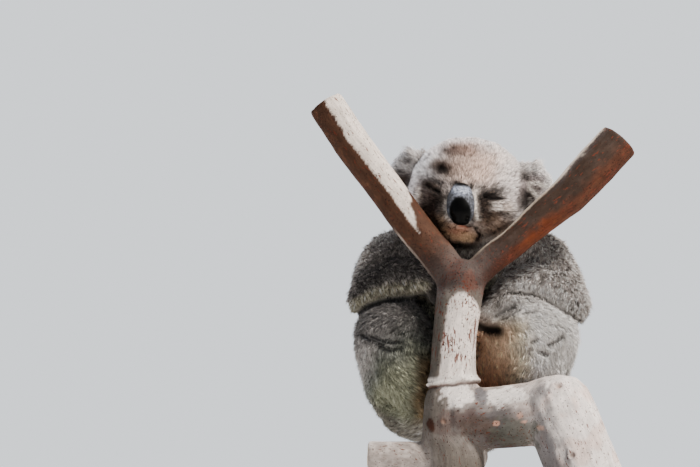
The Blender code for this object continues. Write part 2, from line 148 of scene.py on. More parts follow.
def add_node(tree, kind, values=(), links=(), stops=(), **settings):
    """Adds a node: settings are its properties, values and links what its sockets take."""
    node = tree.nodes.new(kind)
    for name, value in settings.items():
        setattr(node, name, value)
    set_sockets(node, values, links)
    for i, (place, colour) in enumerate(stops):
        ramp = node.color_ramp.elements
        stop = ramp[i] if i < len(ramp) else ramp.new(place)
        stop.position = place
        stop.color = (*linear(colour), 1)
    return node


def new_material(name):
    """An empty material with its shader, and the node tree to fill."""
    made = bpy.data.materials.new(name)
    made.use_nodes = True
    return made, made.node_tree, made.node_tree.nodes["Principled BSDF"]


def deselect_all():
    if bpy.context.mode != "OBJECT":
        bpy.ops.object.mode_set(mode="OBJECT")
    bpy.ops.object.select_all(action="DESELECT")


def make_active(thing):
    deselect_all()
    thing.select_set(True)
    bpy.context.view_layer.objects.active = thing


def finish_with(thing, kind, **settings):
    """Adds a modifier to a piece and applies it."""
    make_active(thing)
    modifier = thing.modifiers.new(kind.lower(), kind)
    for name, value in settings.items():
        setattr(modifier, name, value)
    bpy.ops.object.modifier_apply(modifier=modifier.name)


def new_object(name, data):
    made = bpy.data.objects.new(name, data)
    bpy.context.scene.collection.objects.link(made)
    return made


def copy_of_nodes(name, nodes, swell=0.0):
    """One object with merged copies of CAD nodes, each swollen a little to meet its neighbours."""
    bm = bmesh.new()
    for node in nodes:
        bm.from_mesh(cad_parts[node].data)
    bmesh.ops.remove_doubles(bm, verts=bm.verts, dist=0.02 * MM)
    bm.normal_update()
    moves = [vertex.normal * swell for vertex in bm.verts]
    for vertex, move in zip(bm.verts, moves):
        vertex.co += move
    mesh = bpy.data.meshes.new(name)
    bm.to_mesh(mesh)
    bm.free()
    return new_object(name, mesh)


def keep_largest(thing):
    """Drops the closed scraps that a remesh leaves inside the main shell."""
    make_active(thing)
    mesh = thing.data
    ends = read(mesh.edges, "vertices", 2, np.int32)
    label = np.arange(len(mesh.vertices))
    while True:
        low = np.minimum(label[ends[:, 0]], label[ends[:, 1]])
        new = label.copy()
        np.minimum.at(new, ends[:, 0], low)
        np.minimum.at(new, ends[:, 1], low)
        new = new[new]
        if (new == label).all():
            break
        label = new
    names, counts = np.unique(label, return_counts=True)
    scraps = label != names[counts.argmax()]
    bm = bmesh.new()
    bm.from_mesh(mesh)
    bm.verts.ensure_lookup_table()
    doomed = [bm.verts[i] for i in np.flatnonzero(scraps)]
    bmesh.ops.delete(bm, geom=doomed, context="VERTS")
    bm.to_mesh(mesh)
    bm.free()


def read(items, key, width, kind=float):
    """One property of each item of a mesh, as rows of width numbers."""
    rows = np.empty(len(items) * width, kind)
    items.foreach_get(key, rows)
    return rows.reshape(-1, width)


def points_of(mesh):
    return read(mesh.vertices, "co", 3)


def normals_of(mesh):
    return read(mesh.vertex_normals, "vector", 3, np.float32).astype(float)


def set_points(mesh, points):
    mesh.vertices.foreach_set("co", np.ascontiguousarray(points, np.float32).ravel())
    mesh.update()


def unit(vectors):
    return vectors / np.maximum(np.linalg.norm(vectors, axis=-1, keepdims=True), 1e-9)


def mottle(points, size, seed=0.0):
    """Smooth noise from -1 to 1 at each point, with blotches about size across."""
    shift = Vector((seed, 2 * seed, -seed))
    return np.array([noise.noise(Vector(p) / size + shift) for p in points])


def blob(offsets, spread):
    """A soft spot: 1 at its middle and fading over spread along each axis."""
    return np.exp(-((offsets / np.array(spread)) ** 2).sum(axis=-1))


def step(values, start, end):
    """0 before start, 1 after end, and smooth between."""
    share = np.clip((values - start) / (end - start), 0, 1)
    return share * share * (3 - 2 * share)


def paint(colours, colour, share):
    """Lays a setting's colour, or one given as sRGB hex, over an array of colours by share."""
    if isinstance(colour, str):
        colour = linear(colour)
    colours += (np.array(colour)[:3] - colours) * share[:, None]


def along_path(places, x, z):
    """How far each (x, z) lies from a path of straight runs."""
    gaps = []
    for (ax, az), (bx, bz) in zip(places, places[1:]):
        run = np.array((bx - ax, bz - az))
        share = np.clip(((x - ax) * run[0] + (z - az) * run[1]) / (run @ run), 0, 1)
        gaps.append(np.hypot(x - ax - share * run[0], z - az - share * run[1]))
    return np.min(gaps, axis=0)


def stroke(places, x, z, wide, power=2):
    """1 on a path of straight runs, fading over wide to either side."""
    return np.exp(-(along_path(places, x, z) / wide) ** power)


def oval(x, z, cx, cz, wide, tall, power=4):
    """1 in the middle of an oval, and soft at its edge: the higher power is, the less soft."""
    return np.exp(-abs((x - cx) / wide) ** power - abs((z - cz) / tall) ** power)


def paint_ovals(colours, table, x, z, share, power=4):
    """Lays each oval of a table: its middle, half width, half height, colour and share."""
    for cx, cz, wide, tall, colour, strength in table:
        paint(colours, colour, oval(x, z, cx, cz, wide, tall, power) * strength * share)


def refine(thing, wanted):
    """Halves the cells of the faces that wanted picks out by their middles."""
    make_active(thing)
    bpy.ops.object.mode_set(mode="EDIT")
    bpy.ops.mesh.select_mode(type="FACE")
    bpy.ops.mesh.select_all(action="DESELECT")
    bm = bmesh.from_edit_mesh(thing.data)
    picked = wanted(np.array([face.calc_center_median() for face in bm.faces]))
    for face, pick in zip(bm.faces, picked):
        face.select_set(bool(pick))
    bmesh.update_edit_mesh(thing.data)
    bpy.ops.mesh.subdivide(number_cuts=1, ngon=False, smoothness=0)
    bpy.ops.object.mode_set(mode="OBJECT")


def edit_whole(thing, operator, **settings):
    """Runs an edit-mode operator over the whole of a piece."""
    make_active(thing)
    bpy.ops.object.mode_set(mode="EDIT")
    bpy.ops.mesh.select_all(action="SELECT")
    operator(**settings)
    bpy.ops.object.mode_set(mode="OBJECT")


def face_outward(thing):
    """Turns a closed piece's faces outward and shades it smooth."""
    edit_whole(thing, bpy.ops.mesh.normals_make_consistent, inside=False)
    thing.data.shade_smooth()


def set_attribute(mesh, name, values):
    """Stores colours or numbers by vertex."""
    if values.ndim == 1:
        made = mesh.attributes.new(name, "FLOAT", "POINT")
        made.data.foreach_set("value", values.astype(np.float32))
        return
    made = mesh.color_attributes.new(name, "FLOAT_COLOR", "POINT")
    full = np.ones((len(values), 4), np.float32)
    full[:, :3] = values
    made.data.foreach_set("color", full.ravel())


HEAD = Matrix.Translation(Vector(HEAD_CENTRE) * MM) @ (
    Matrix.Rotation(math.pi - math.radians(HEAD_YAW), 4, "Z")
    @ Matrix.Rotation(-math.radians(HEAD_NOD), 4, "X")
    @ Matrix.Rotation(-math.radians(HEAD_ROLL), 4, "Y")
)
FROM_HEAD = np.array(HEAD)
TO_HEAD = np.array(HEAD.inverted())


def in_head(points):
    """World points as millimetres in the head's own frame."""
    return (points @ TO_HEAD[:3, :3].T + TO_HEAD[:3, 3]) / MM


def out_of_head(vectors):
    """Directions in the head's frame as world directions."""
    return vectors @ FROM_HEAD[:3, :3].T


def middle(node):
    low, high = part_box(node)
    return np.array((low + high) / 2)


# --- Skin ---


class Skin:
    """The skin's arrays: what the coat reads at each vertex and each triangle."""

    def __init__(self, thing):
        mesh = thing.data
        mesh.calc_loop_triangles()
        self.points = points_of(mesh)
        self.normals = normals_of(mesh)
        self.triangles = read(mesh.loop_triangles, "vertices", 3, np.int32)
        loops = read(mesh.loop_triangles, "loops", 3, np.int32)
        self.unwrap = read(mesh.uv_layers["OFBake"].data, "uv", 2, np.float32)[loops]
        corners = self.points[self.triangles]
        across = np.cross(corners[:, 1] - corners[:, 0], corners[:, 2] - corners[:, 0])
        self.areas = np.linalg.norm(across, axis=1) / 2

    def area_of(self, weight):
        """The area in square metres of the part that weight picks out."""
        return (self.areas * weight[self.triangles].mean(axis=1)).sum()


def nearness(points, nodes, fade):
    """For each node, how near it is to each point, as shares that add up to 1 and fade apart."""
    gaps = []
    for node in nodes:
        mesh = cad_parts[node].data
        mesh.calc_loop_triangles()
        tree = BVHTree.FromPolygons(
            [vertex.co for vertex in mesh.vertices],
            [triangle.vertices[:] for triangle in mesh.loop_triangles])
        gaps.append([tree.find_nearest(point, 0.06)[3] or 0.06 for point in map(Vector, points)])
    gaps = np.array(gaps)
    shares = np.exp(-(gaps - gaps.min(axis=0)) / fade)
    shares /= shares.sum(axis=0)
    return dict(zip(nodes, shares))


def share_of(shares, *kinds):
    return sum(shares[name] for name in FLESH if name.startswith(kinds))


def creases(thing, rounds):
    """How far each point of a mesh lies under its surroundings, and the way up to them."""
    flat = thing.copy()
    flat.data = thing.data.copy()
    bpy.context.scene.collection.objects.link(flat)
    finish_with(flat, "SMOOTH", factor=0.5, iterations=rounds)
    rise = points_of(flat.data) - points_of(thing.data)
    sunk = (rise * normals_of(thing.data)).sum(axis=1)
    bpy.data.objects.remove(flat)
    return sunk, rise


def regions(shares):
    """Shares of the face, the ears, the paws and the rest of the body at each point."""
    face = share_of(shares, "head", "jaw")
    ears = share_of(shares, "ear")
    paws = share_of(shares, "hand", "foot")
    return face, ears, paws, 1 - face - ears - paws


EAR_DEPTH = 5 * MM  # the coat's depth on the ears
PAW_DEPTH = 3.5 * MM  # and on the paws


def coat_depth(shares, coat):
    """How far the coat's tips stand out from the skin at each point."""
    face, ears, paws, body = regions(shares)
    return (body * coat.body_depth + face * coat.face_depth * 1.5
            + ears * EAR_DEPTH + paws * PAW_DEPTH)


FACE_FORMS = [  # x, z, half width, half height, rise in millimetres, in the head's frame
    (39, 3, 17, 12, -3.6), (-38, 1, 17, 12, -3.6),  # eye sockets
    (36, 19, 14, 6, 2.8), (-34, 17, 14, 6, 2.8),  # brows
    (57, -14, 16, 15, 3.0), (-57, -10, 13, 11, 4.0),  # cheeks
    (24, -26, 9, 12, 2.6), (-22, -26, 9, 12, 2.6),  # muzzle beside the nose
    (36, -22, 5, 12, -2.4), (-35, -22, 5, 12, -2.4),  # creases behind the muzzle
    (3, 30, 11, 14, 1.2),  # bridge of the nose
    (7, -51, 24, 9, 3.6),  # chin
    (34, 33, 7, 5, -3.8),  # a dent in the brow
    (16, 59, 12, 4, -1.8),  # parting on the crown
]
MOUTH = [(35, -47), (30, -41), (19, -36), (2, -36), (-19, -37), (-25, -45), (-24, -54)]
LID_HEIGHT = 4.5  # from the slit to the fullest part of each lid


def face_rise(local):
    """How far the face's folds and pads stand out, in metres."""
    x, y, z = local.T
    front = step(y, 5, 35)
    rise = np.zeros(len(local))
    for cx, cz, wide, tall, height in FACE_FORMS:
        rise += height * oval(x, z, cx, cz, wide, tall, 2)
    rise -= (3.2 - 1.4 * (x > 8)) * stroke(MOUTH, x, z, 2.4)
    for slit in EYES.values():
        gap = along_path(slit, x, z)
        rise += 2.6 * np.exp(-((gap - LID_HEIGHT) / 2.6) ** 2) - 1.8 * np.exp(-(gap / 1.7) ** 2)
    return rise * front * MM


def needs_detail(middles):
    """The face, and the folded fronts of the thighs and forearms."""
    x, y, z = in_head(middles).T
    face = (y > 28) & (abs(x) < 68)
    x, y, z = (middles / MM).T
    return face | ((y < 5) & (z > 225) & (z < 392) & (abs(x - 11) > 30))


def build_skin(coat):
    """One skin over all the flesh, drawn in by the coat's depth, with the face's folds."""
    skin = copy_of_nodes("koala_skin", FLESH + ["nose", "eyelids_right", "eyelids_left"],
                         swell=0.5 * MM)
    finish_with(skin, "REMESH", mode="VOXEL", voxel_size=2.5 * MM)
    keep_largest(skin)
    finish_with(skin, "SMOOTH", factor=0.5, iterations=22)
    refine(skin, needs_detail)
    points = points_of(skin.data)
    shares = nearness(points, FLESH, 6 * MM)
    on_head = share_of(shares, "head", "jaw", "ear")
    for _ in range(3):
        sunk, rise = creases(skin, 120)
        points += rise * (0.8 * step(sunk, 0.1 * MM, 1.5 * MM) * (1 - on_head))[:, None]
        set_points(skin.data, points)
    sunk, _ = creases(skin, 60)
    depth = coat_depth(shares, coat) * (1 - 0.6 * step(sunk, 0.1 * MM, 1.6 * MM))
    points = points - normals_of(skin.data) * depth[:, None]
    for side in ("right", "left"):
        ear = shares["ear_" + side][:, None]
        points += (middle("ear_" + side) - points) * 0.16 * ear
    set_points(skin.data, points)
    finish_with(skin, "SMOOTH", factor=0.5, iterations=4)
    points = points_of(skin.data)
    rise = face_rise(in_head(points)) * share_of(shares, "head", "jaw")
    rise -= 2.6 * MM * folds_at(points) * (1 - on_head)
    set_points(skin.data, points + normals_of(skin.data) * rise[:, None])
    finish_with(skin, "SMOOTH", factor=0.5, iterations=1)
    skin.data.shade_smooth()
    return skin, shares, depth


def unwrap_skin(thing):
    """Lays the skin out flat by its own shape, for the coat's roots."""
    thing.data.uv_layers.new(name="OFBake")
    edit_whole(thing, bpy.ops.uv.smart_project, angle_limit=math.radians(70), island_margin=0.004)


# --- Markings and lie, shared by skin and coat ---

FACE_PAINT = [  # x, z, half width, half height, colour, share
    (60, 30, 18, 28, "#dcd7d5", 0.85), (-60, 18, 17, 32, "#c6bebb", 0.8),  # pale temples
    (9, 63, 25, 9, "#6f4f40", 0.75), (27, 58, 14, 7, "#3a2a24", 0.85),  # brown crown, parting
    (34, 37, 17, 9, "#6a4f40", 0.8), (33, 33, 15.5, 8.5, "#120c0a", 1.0),  # a dent in the brow: brown round it, and painted shade in it
    (38, -16, 24, 25, "#5a4b41", 0.95), (-30, -11, 21, 20, "#33261f", 0.95),  # under the eyes; the right one is dark partly as painted shade
    (44, 10, 19, 11, "#44362e", 0.9), (34, -9, 12, 16, "#1a1411", 0.8),  # right eye's mask
    (-34, 6, 20, 14, "#120c0a", 1.0),  # left eye's mask
    (48, -5, 10, 5, "#76665e", 0.85), (62, -3, 5, 8, "#bfae9f", 0.9),  # pouch, pale outer fold
    (24, -22, 8, 15, "#574c45", 0.9), (-30, -28, 10, 8, "#4a372d", 0.9),  # muzzle; its right side is dark partly as painted shade
    (44, -36, 13, 9, "#8f7b69", 0.85), (27, -33, 11, 7, "#8f7a66", 0.8),  # lower cheeks
    (-52, -38, 22, 14, "#bda290", 0.9), (-42, -23, 14, 8, "#755e4d", 0.85),
    (-59, -10, 7, 11, "#9a8c82", 0.75), (-27, -15, 14, 17, "#1f1511", 1.0),  # beside the muzzle
    (-46, -8, 7.5, 7, "#eaded6", 1.0), (-46, -17, 11, 3.2, "#2a1e18", 0.95),  # tuft, its shade
    (10, -50, 36, 14, "#cba07e", 1.0), (0, -44, 15, 5, "#b9806a", 0.8),  # chin
    (-13, -51, 11, 6, "#d8b28b", 0.75), (34, -51, 12, 9, "#d0a880", 0.85),  # its two ends
    (4, -64, 34, 7, "#16120c", 0.96),  # the chin's underside, painted near black as its shadow
    (-5, -38, 10, 1.9, "#96604f", 1.0),  # lip
    (10, 16, 8, 5, "#0c0908", 1.0), (-9, 14, 3, 6, "#0f0b09", 1.0),  # painted shadow beside the nose's top
]
PALE_LINES = [  # streaks beside the nose and outside the right eye, and how strong each is
    ([(-14, 10), (-18, -4), (-20, -14), (-24, -27)], 1.0),
    ([(21, -6), (20, -16), (18, -27)], 0.8), ([(61, 3), (63, -4), (64, -11)], 0.8),
]
EAR_PAINT = [  # x, z, half width, half height, colour, share, in the head's frame
    (91, 12, 15, 10, "#3f2d26", 0.95), (88, 38, 5, 4, "#4a4547", 0.8),
    (96, 23, 8, 3, "#241916", 0.8), (-84, 20, 19, 21, "#77696a", 0.85),
    (-72, 35, 10, 7, "#332f2d", 0.9), (-81, 3, 13, 17, "#1a110e", 0.98),
    (-92, 20, 7, 2.4, "#2e211c", 0.8),
]
EAR_STREAKS = [[(-74, 24), (-88, 27), (-103, 24)], [(-76, 21), (-86, 15), (-96, 7)]]


BROW = (-6, 40, 38, 25)  # middle, half width and half height of the warm forehead


def head_colours(local, coat):
    """Tip colours over the head: pale, with a warm brow, dark masks and a tan chin."""
    stray = np.stack([mottle(local, 9, seed) for seed in (21, 23)], 1)
    x, y, z = local.T
    x, z = x + 3 * stray[:, 0], z + 3 * stray[:, 1]
    front = step(y, -5, 25)
    colours = np.tile(np.array(coat.face), (len(local), 1))
    paint(colours, coat.back, 0.6 * step(-y, 0, 60))
    brow = oval(x, z, *BROW)
    paint(colours, coat.brow, 0.85 * brow * front)
    paint_ovals(colours, FACE_PAINT, x, z, front, 3)
    # Stray pale hairs lie over the dark parts.
    strays = step(mottle(local * np.array((1, 1, 0.7)), 3.0, 47), 0.12, 0.45) * step(-z, -24, -12)
    paint(colours, "#8f7c6f", 0.38 * strays * front * step(-colours[:, 1], -0.12, -0.04))
    for path, share in PALE_LINES:
        paint(colours, "#e9dfd6", stroke(path, x, z, 2.7) * share * front)
    for slit in EYES.values():
        paint(colours, "#0c0807", stroke(slit, x, z, 2.2) * front)
    corner = stroke(MOUTH, x, z, 2.4) * front * step(abs(x - 3), 7, 13) * (1 - 0.4 * (x > 3))
    paint(colours, "#0f0a08", 0.95 * corner)
    paint_ovals(colours, EAR_PAINT, x, z, step(y, -45, -30) * step(abs(x), 66, 72))
    # Fine dark gaps between the locks, painted as the shade in them, thickest over the cheeks and round
    # the eyes.
    gaps = step(mottle(local, 3.6, 41) + 0.5 * mottle(local, 9, 43), 0.12, 0.5)
    return colours * (1 - (0.68 - 0.26 * brow) * gaps)[:, None]


FOLDS = [  # x and z along each line where the coat folds, its breadth, its share of the full depth
    ([(-150, 336), (-141, 341), (-124, 351), (-99, 358), (-73, 361), (-48, 362)], 4.0, 1.0),
    ([(60, 367), (90, 365), (108, 360), (122, 351), (138, 342), (158, 334)], 2.8, 1.0),
    ([(-129, 312), (-115, 303), (-102, 297)], 2.4, 1.0),
    ([(-117, 309), (-102, 302), (-87, 300), (-77, 300)], 2.2, 1.0),
    ([(-107, 295), (-92, 290), (-79, 292)], 2.4, 1.0), ([(-93, 311), (-88, 316)], 2.0, 0.7),
    ([(44, 336), (55, 342), (68, 348)], 4.2, 1.0), ([(17, 326), (30, 320), (46, 316)], 6.5, 1.0),
    ([(52, 331), (62, 335), (74, 344)], 2.2, 0.7), ([(78, 338), (92, 340)], 2.2, 0.8),
    ([(87, 300), (96, 303)], 2.6, 0.9), ([(109, 296), (118, 299), (129, 309)], 3.0, 1.0),
    ([(96, 288), (107, 284)], 2.9, 1.0), ([(112, 322), (124, 322), (134, 316)], 1.9, 0.6),
]
ARM_EDGE = [(60, 375), (90, 373), (108, 368), (122, 359), (138, 350), (158, 342)]
CREAM_EDGE = [(-150, 345), (-141, 352), (-121, 363), (-92, 370), (-62, 373), (-46, 374)]
LAP = [(17, 326), (30, 320), (44, 317)]  # the hollow where the left forearm meets the thigh, painted near black as shade


def folds_at(points):
    """How deep each point lies in a fold of the body's coat, from 0 to 1."""
    x, y, z = (points / MM).T
    front = step(-y, -45, -25)
    deepest = np.zeros(len(points))
    for path, wide, share in FOLDS:
        deepest = np.maximum(deepest, share * stroke(path, x, z, wide))
    squashed = points * np.array((1, 1, 1.9))
    fine = np.exp(-((mottle(squashed, 19 * MM, 11) / 0.075) ** 2))
    fine *= step(mottle(points, 45 * MM, 13), -0.05, 0.25)
    return np.maximum(deepest * front, 0.6 * fine)


def body_colours(points, normals, leg, trunk, coat):
    """Tip colours over trunk and limbs: grey above, silver thighs, cream and tan below, with painted
    shade on the right side, behind the fork and in the lap.
    """
    x, y, z = (points / MM).T
    drift = mottle(points, 30 * MM, 15)
    fine = mottle(points, 9 * MM, 17)
    colours = np.tile(np.array(coat.back), (len(points), 1))
    right = step(-x, -5, 10)
    # The right thigh takes only half the flank's pale colour, as painted shade.
    paint(colours, coat.flank, leg * (1 - 0.5 * right))
    # The cream edge climbs towards the stem on the right thigh, and stays low on the left one.
    climb = 246 + 0.55 * np.maximum(x + 142, -20) - 1.4 * np.maximum(-102 - x, 0)
    edge = np.where(right > 0.5, climb, 222)
    low = step(edge - z + 12 * drift + 5 * fine, -18, 22)
    under = step(-normals[:, 2], 0.0, 0.7)
    paint(colours, "#838c80", 0.8 * leg * right * step(edge - z + 14 * drift, -60, 0))
    belly = trunk * step(-y, -60, -20)
    cream = np.maximum(low * (0.6 + 0.4 * np.maximum(leg, under)), 0.9 * belly)
    inner = leg * (1 - right) * step(-x + 9 * drift, -98, -66) * step(-z, -345, -315)
    cream = np.clip(cream, 0, 1)
    ahead = step(-y, -70, -20)
    paint(colours, coat.cream, cream * ahead)
    paint(colours, "#d0c8bb", 0.8 * cream * (1 - ahead))
    paint(colours, "#dccdb2", 0.9 * inner)
    rubbed = leg * right * step(x + 8 * drift, -66, -48) * step(-z, -292, -272)
    paint(colours, "#b58c62", 0.65 * rubbed * ahead)
    band = stroke(CREAM_EDGE, x, z, 8.5, 4) * (y < 45)
    paint(colours, "#ddd5ba", 0.9 * band)
    stain = step(x, -10, 8) * step(-x + 8 * drift, -74, -44) * step(z, 205, 240)
    stain *= step(-z + 10 * drift, -344, -306) * step(-y, -80, -30)
    paint(colours, coat.tan, 0.92 * stain)
    paint(colours, "#eed6ba", 0.8 * stain * blob(points[:, ::2] / MM - (50, 294), (22, 26)))
    paint(colours, "#a87458", 0.7 * stain * step(-z, -264, -236))
    # Painted shade, near black, in the hollow of the lap.
    hollow = stroke(LAP, x, z, 6.5, 4) * (y < 0)
    paint(colours, "#0c0806", 0.95 * hollow)
    # Painted shade on the chest and neck behind the fork's crotch, under the chin.
    shaded_behind_crotch = np.exp(-((x - 5) / 45) ** 4) * step(z, 340, 365) * step(-y, -30, -10)
    paint(colours, "#4a3d36", 0.6 * shaded_behind_crotch)
    # Painted shade: the right shoulder and thigh are darker in front than the left ones.
    painted_shade = leg * (0.36 * step(z, 225, 280) + 0.34 * step(z, 285, 318)) + 0.74 * (1 - leg)
    painted_shade *= right * step(-y, -45, 10) * step(z, 215, 235)
    # The left arm's lower edge: pale fur, brightened further as a painted highlight.
    pale_and_lit_arm_edge = stroke(ARM_EDGE, x, z, 6, 4) * (y < 60)
    paint(colours, "#f4efea", 0.75 * pale_and_lit_arm_edge)
    # Painted shade on the inside of the left thigh, next to the stem.
    shaded_inner_thigh = leg * (1 - right) * step(-x, -80, -62) * step(z, 296, 312) * step(-z, -372, -355)
    return colours * ((1 - painted_shade * (1 - 0.75 * band)) * (1 - 0.35 * shaded_inner_thigh))[:, None]


def ear_colours(points):
    """Pale outside and at the rim, brown in the hollow, with pale strands across the left one."""
    x, y, z = in_head(points).T
    colours = np.tile(linear("#e3dfde"), (len(points), 1))
    front = step(y, -30, -14)
    paint_ovals(colours, EAR_PAINT, x, z, front)
    for path in EAR_STREAKS:
        paint(colours, "#ece5dd", 0.97 * stroke(path, x, z, 3.0) * front)
    return colours


def zones_of(shares):
    """Shares of the face, ears, legs and trunk at each point, which the markings follow."""
    return np.stack([
        share_of(shares, "head", "jaw"), share_of(shares, "ear"),
        share_of(shares, "thigh", "shank", "foot"), share_of(shares, "torso"),
    ], axis=1)


def markings(points, normals, zones, coat):
    """The coat's colour at each place on its surface."""
    colours = np.zeros((len(points), 3))
    face, ears, leg, trunk = zones.T
    body = 1 - face - ears
    on = face > 0.01
    colours[on] += face[on, None] * head_colours(in_head(points[on]), coat)
    on = ears > 0.01
    colours[on] += ears[on, None] * ear_colours(points[on])
    on = body > 0.01
    colours[on] += body[on, None] * body_colours(points[on], normals[on], leg[on], trunk[on], coat)
    return colours


def coat_lie(points, normals, shares):
    """The way the hair runs at each point, along the skin."""
    local = in_head(points)
    from_nose = out_of_head(unit(local - np.array((0, 92, -14))))
    run = np.zeros_like(points)
    run += share_of(shares, "head", "jaw")[:, None] * from_nose
    run += share_of(shares, "torso", "neck")[:, None] * np.array((0, 0.25, -1))
    for side in ("right", "left"):
        shoulder, elbow = middle("upper_arm_" + side), middle("forearm_" + side)
        hand, foot = middle("hand_" + side), middle("foot_" + side)
        knee, hip = middle("shank_" + side), middle("thigh_" + side)
        down, outward = np.array((0, 0, -1)), np.array((-1 if side == "right" else 1, 0, 0))
        flows = {
            "upper_arm": unit(elbow - shoulder) + 0.8 * down,
            "forearm": 0.55 * unit(hand - elbow) + 0.7 * down,
            "hand": unit(hand - elbow), "thigh": 0.5 * unit(knee - hip) + 0.6 * down + 0.5 * outward,
            "shank": unit(foot - knee), "foot": unit(foot - knee),
        }
        for limb, flow in flows.items():
            run += shares[f"{limb}_{side}"][:, None] * flow
        ear = middle("ear_" + side)
        root = ear + 0.75 * (np.array(HEAD_CENTRE) * MM - ear)
        run += shares["ear_" + side][:, None] * unit(points - root)
    run = unit(run) + 0.25 * np.stack([mottle(points, 45 * MM, seed) for seed in (3, 5, 7)], 1)
    return unit(run - (run * normals).sum(1, keepdims=True) * normals)


def dress_skin(thing, shares, depth, coat):
    """Works out what the coat needs at each vertex, and stores the skin's own colours."""
    skin = Skin(thing)
    points, normals = skin.points, skin.normals
    face, ears, paws, body = regions(shares)
    skin.face, skin.ears, skin.paws, skin.body = face, ears, paws, body
    skin.zones = zones_of(shares)
    tips = markings(points, normals, skin.zones, coat)
    x, y, z = in_head(points).T
    muzzle = face * step(y, 48, 75)
    chin = face * oval(x, z, 4, -51, 29, 17) * step(y, 30, 45)
    skin.depth = depth * (1 - 0.35 * muzzle) * (1 - 0.7 * chin)
    # Painted shade darkens the skin's colour in the coat's folds.
    tips *= 1 - 0.85 * (body * folds_at(points))[:, None]
    skin.tips = tips
    skin.lie = coat_lie(points, normals, shares)
    # Shades differ most over the shoulders and back, and least on the forehead and chin.
    arms = share_of(shares, "upper_arm", "forearm", "torso", "neck")
    brow = face * oval(x, z, *BROW)
    stain = blob(points[:, ::2] / MM - (38, 288), (42, 52)) * (points[:, 1] < 40 * MM)
    skin.contrast = 0.3 + 0.46 * arms + 0.06 * face - 0.1 * brow - 0.3 * chin - 0.1 * ears
    skin.contrast -= 0.4 * body * stain * skin.contrast
    lips = oval(x, z, -5, -38.5, 11, 3)
    slits = sum(stroke(slit, x, z, 1.5) for slit in EYES.values())
    skin.bare = face * np.clip(lips + slits, 0, 1) * (y > 40)
    under_nose = oval(x, z, 1, -10, 15, 25, 6) * (y > 50)
    skin.tuftless = np.clip(skin.bare + face * under_nose, 0, 1)
    skin.rooted = 0.13 * face + 0.25 * skin.zones[:, 2] + 0.3 * ears + 0.35 * body * stain
    under = tips * (0.42 + 0.56 * skin.rooted)[:, None]
    skin.under = under * (1 - skin.bare[:, None]) + tips * skin.bare[:, None]
    set_attribute(thing.data, "coat_colour", skin.under)
    return skin


def fur_material(name, bump):
    """Wool and guard hair: quite matt, so the gaps between the locks stay dark."""
    made, tree, shader = new_material(name)
    place = add_node(tree, "ShaderNodeTexCoord").outputs["Object"]
    # Hairs are about 0.1 mm thick, so they are drawn as 2 mm strands, which still show.
    strands = add_node(tree, "ShaderNodeTexNoise", {"Scale": 500, "Detail": 2}, {"Vector": place})
    shade = add_node(tree, "ShaderNodeMapRange", {"To Min": 0.8, "To Max": 1.15}, {"Value": strands})
    colour = add_node(tree, "ShaderNodeAttribute", attribute_name="coat_colour")
    toned = add_node(
        tree, "ShaderNodeVectorMath", links={0: colour, 1: shade}, operation="MULTIPLY")
    set_sockets(shader, {"Roughness": 0.85, "Specular IOR Level": 0.12}, {"Base Color": toned})
    if bump:
        raised = add_node(
            tree, "ShaderNodeBump", {"Strength": 0.5, "Distance": 1 * MM}, {"Height": strands})
        set_sockets(shader, links={"Normal": raised})
    return made


# --- Coat ---


def scatter(skin, weight, count, rng):
    """Root places over the skin: the triangle and the share of each of its corners."""
    chance = skin.areas * weight[skin.triangles].mean(axis=1)
    picked = rng.choice(len(chance), count, p=chance / chance.sum())
    a, b = rng.random((2, count))
    over = a + b > 1
    a[over], b[over] = 1 - a[over], 1 - b[over]
    return picked, np.stack([1 - a - b, a, b], axis=1)


STYLES = {  # lift from the skin in degrees, breadth in mm, tufts to a lock, lean towards it
    "body": {"lift": 34, "width": 1.1, "clump": 9, "pull": 0.55},
    "guard": {"lift": 38, "width": 0.8, "clump": 4, "pull": 0.45, "reach": 1.35, "curved": True},
    "face": {"lift": 36, "width": 0.85, "clump": 6, "pull": 0.5},
    "crown": {"lift": 36, "width": 1.0, "clump": 8, "pull": 0.5},
    "ears": {"lift": 32, "width": 0.8, "clump": 5, "pull": 0.4, "curved": True, "fringed": True},
    "paws": {"lift": 26, "width": 1.0, "clump": 4, "pull": 0.3},
}
EAR_TUFTS = 13000
PAW_TUFTS = 14000
MOST_STRAIGHT = 49000  # straight tufts in one piece
TUFT_STRAIGHT = [(0, 1, 2), (0, 3, 1), (1, 3, 2), (2, 3, 0)]
TUFT_CURVED = [
    (0, 1, 2), (0, 3, 4), (0, 4, 1), (1, 4, 5), (1, 5, 2), (2, 5, 3), (2, 3, 0),
    (3, 6, 4), (4, 6, 5), (5, 6, 3),
]
PATCH = 0.003  # width of one tuft's patch on the unwrap


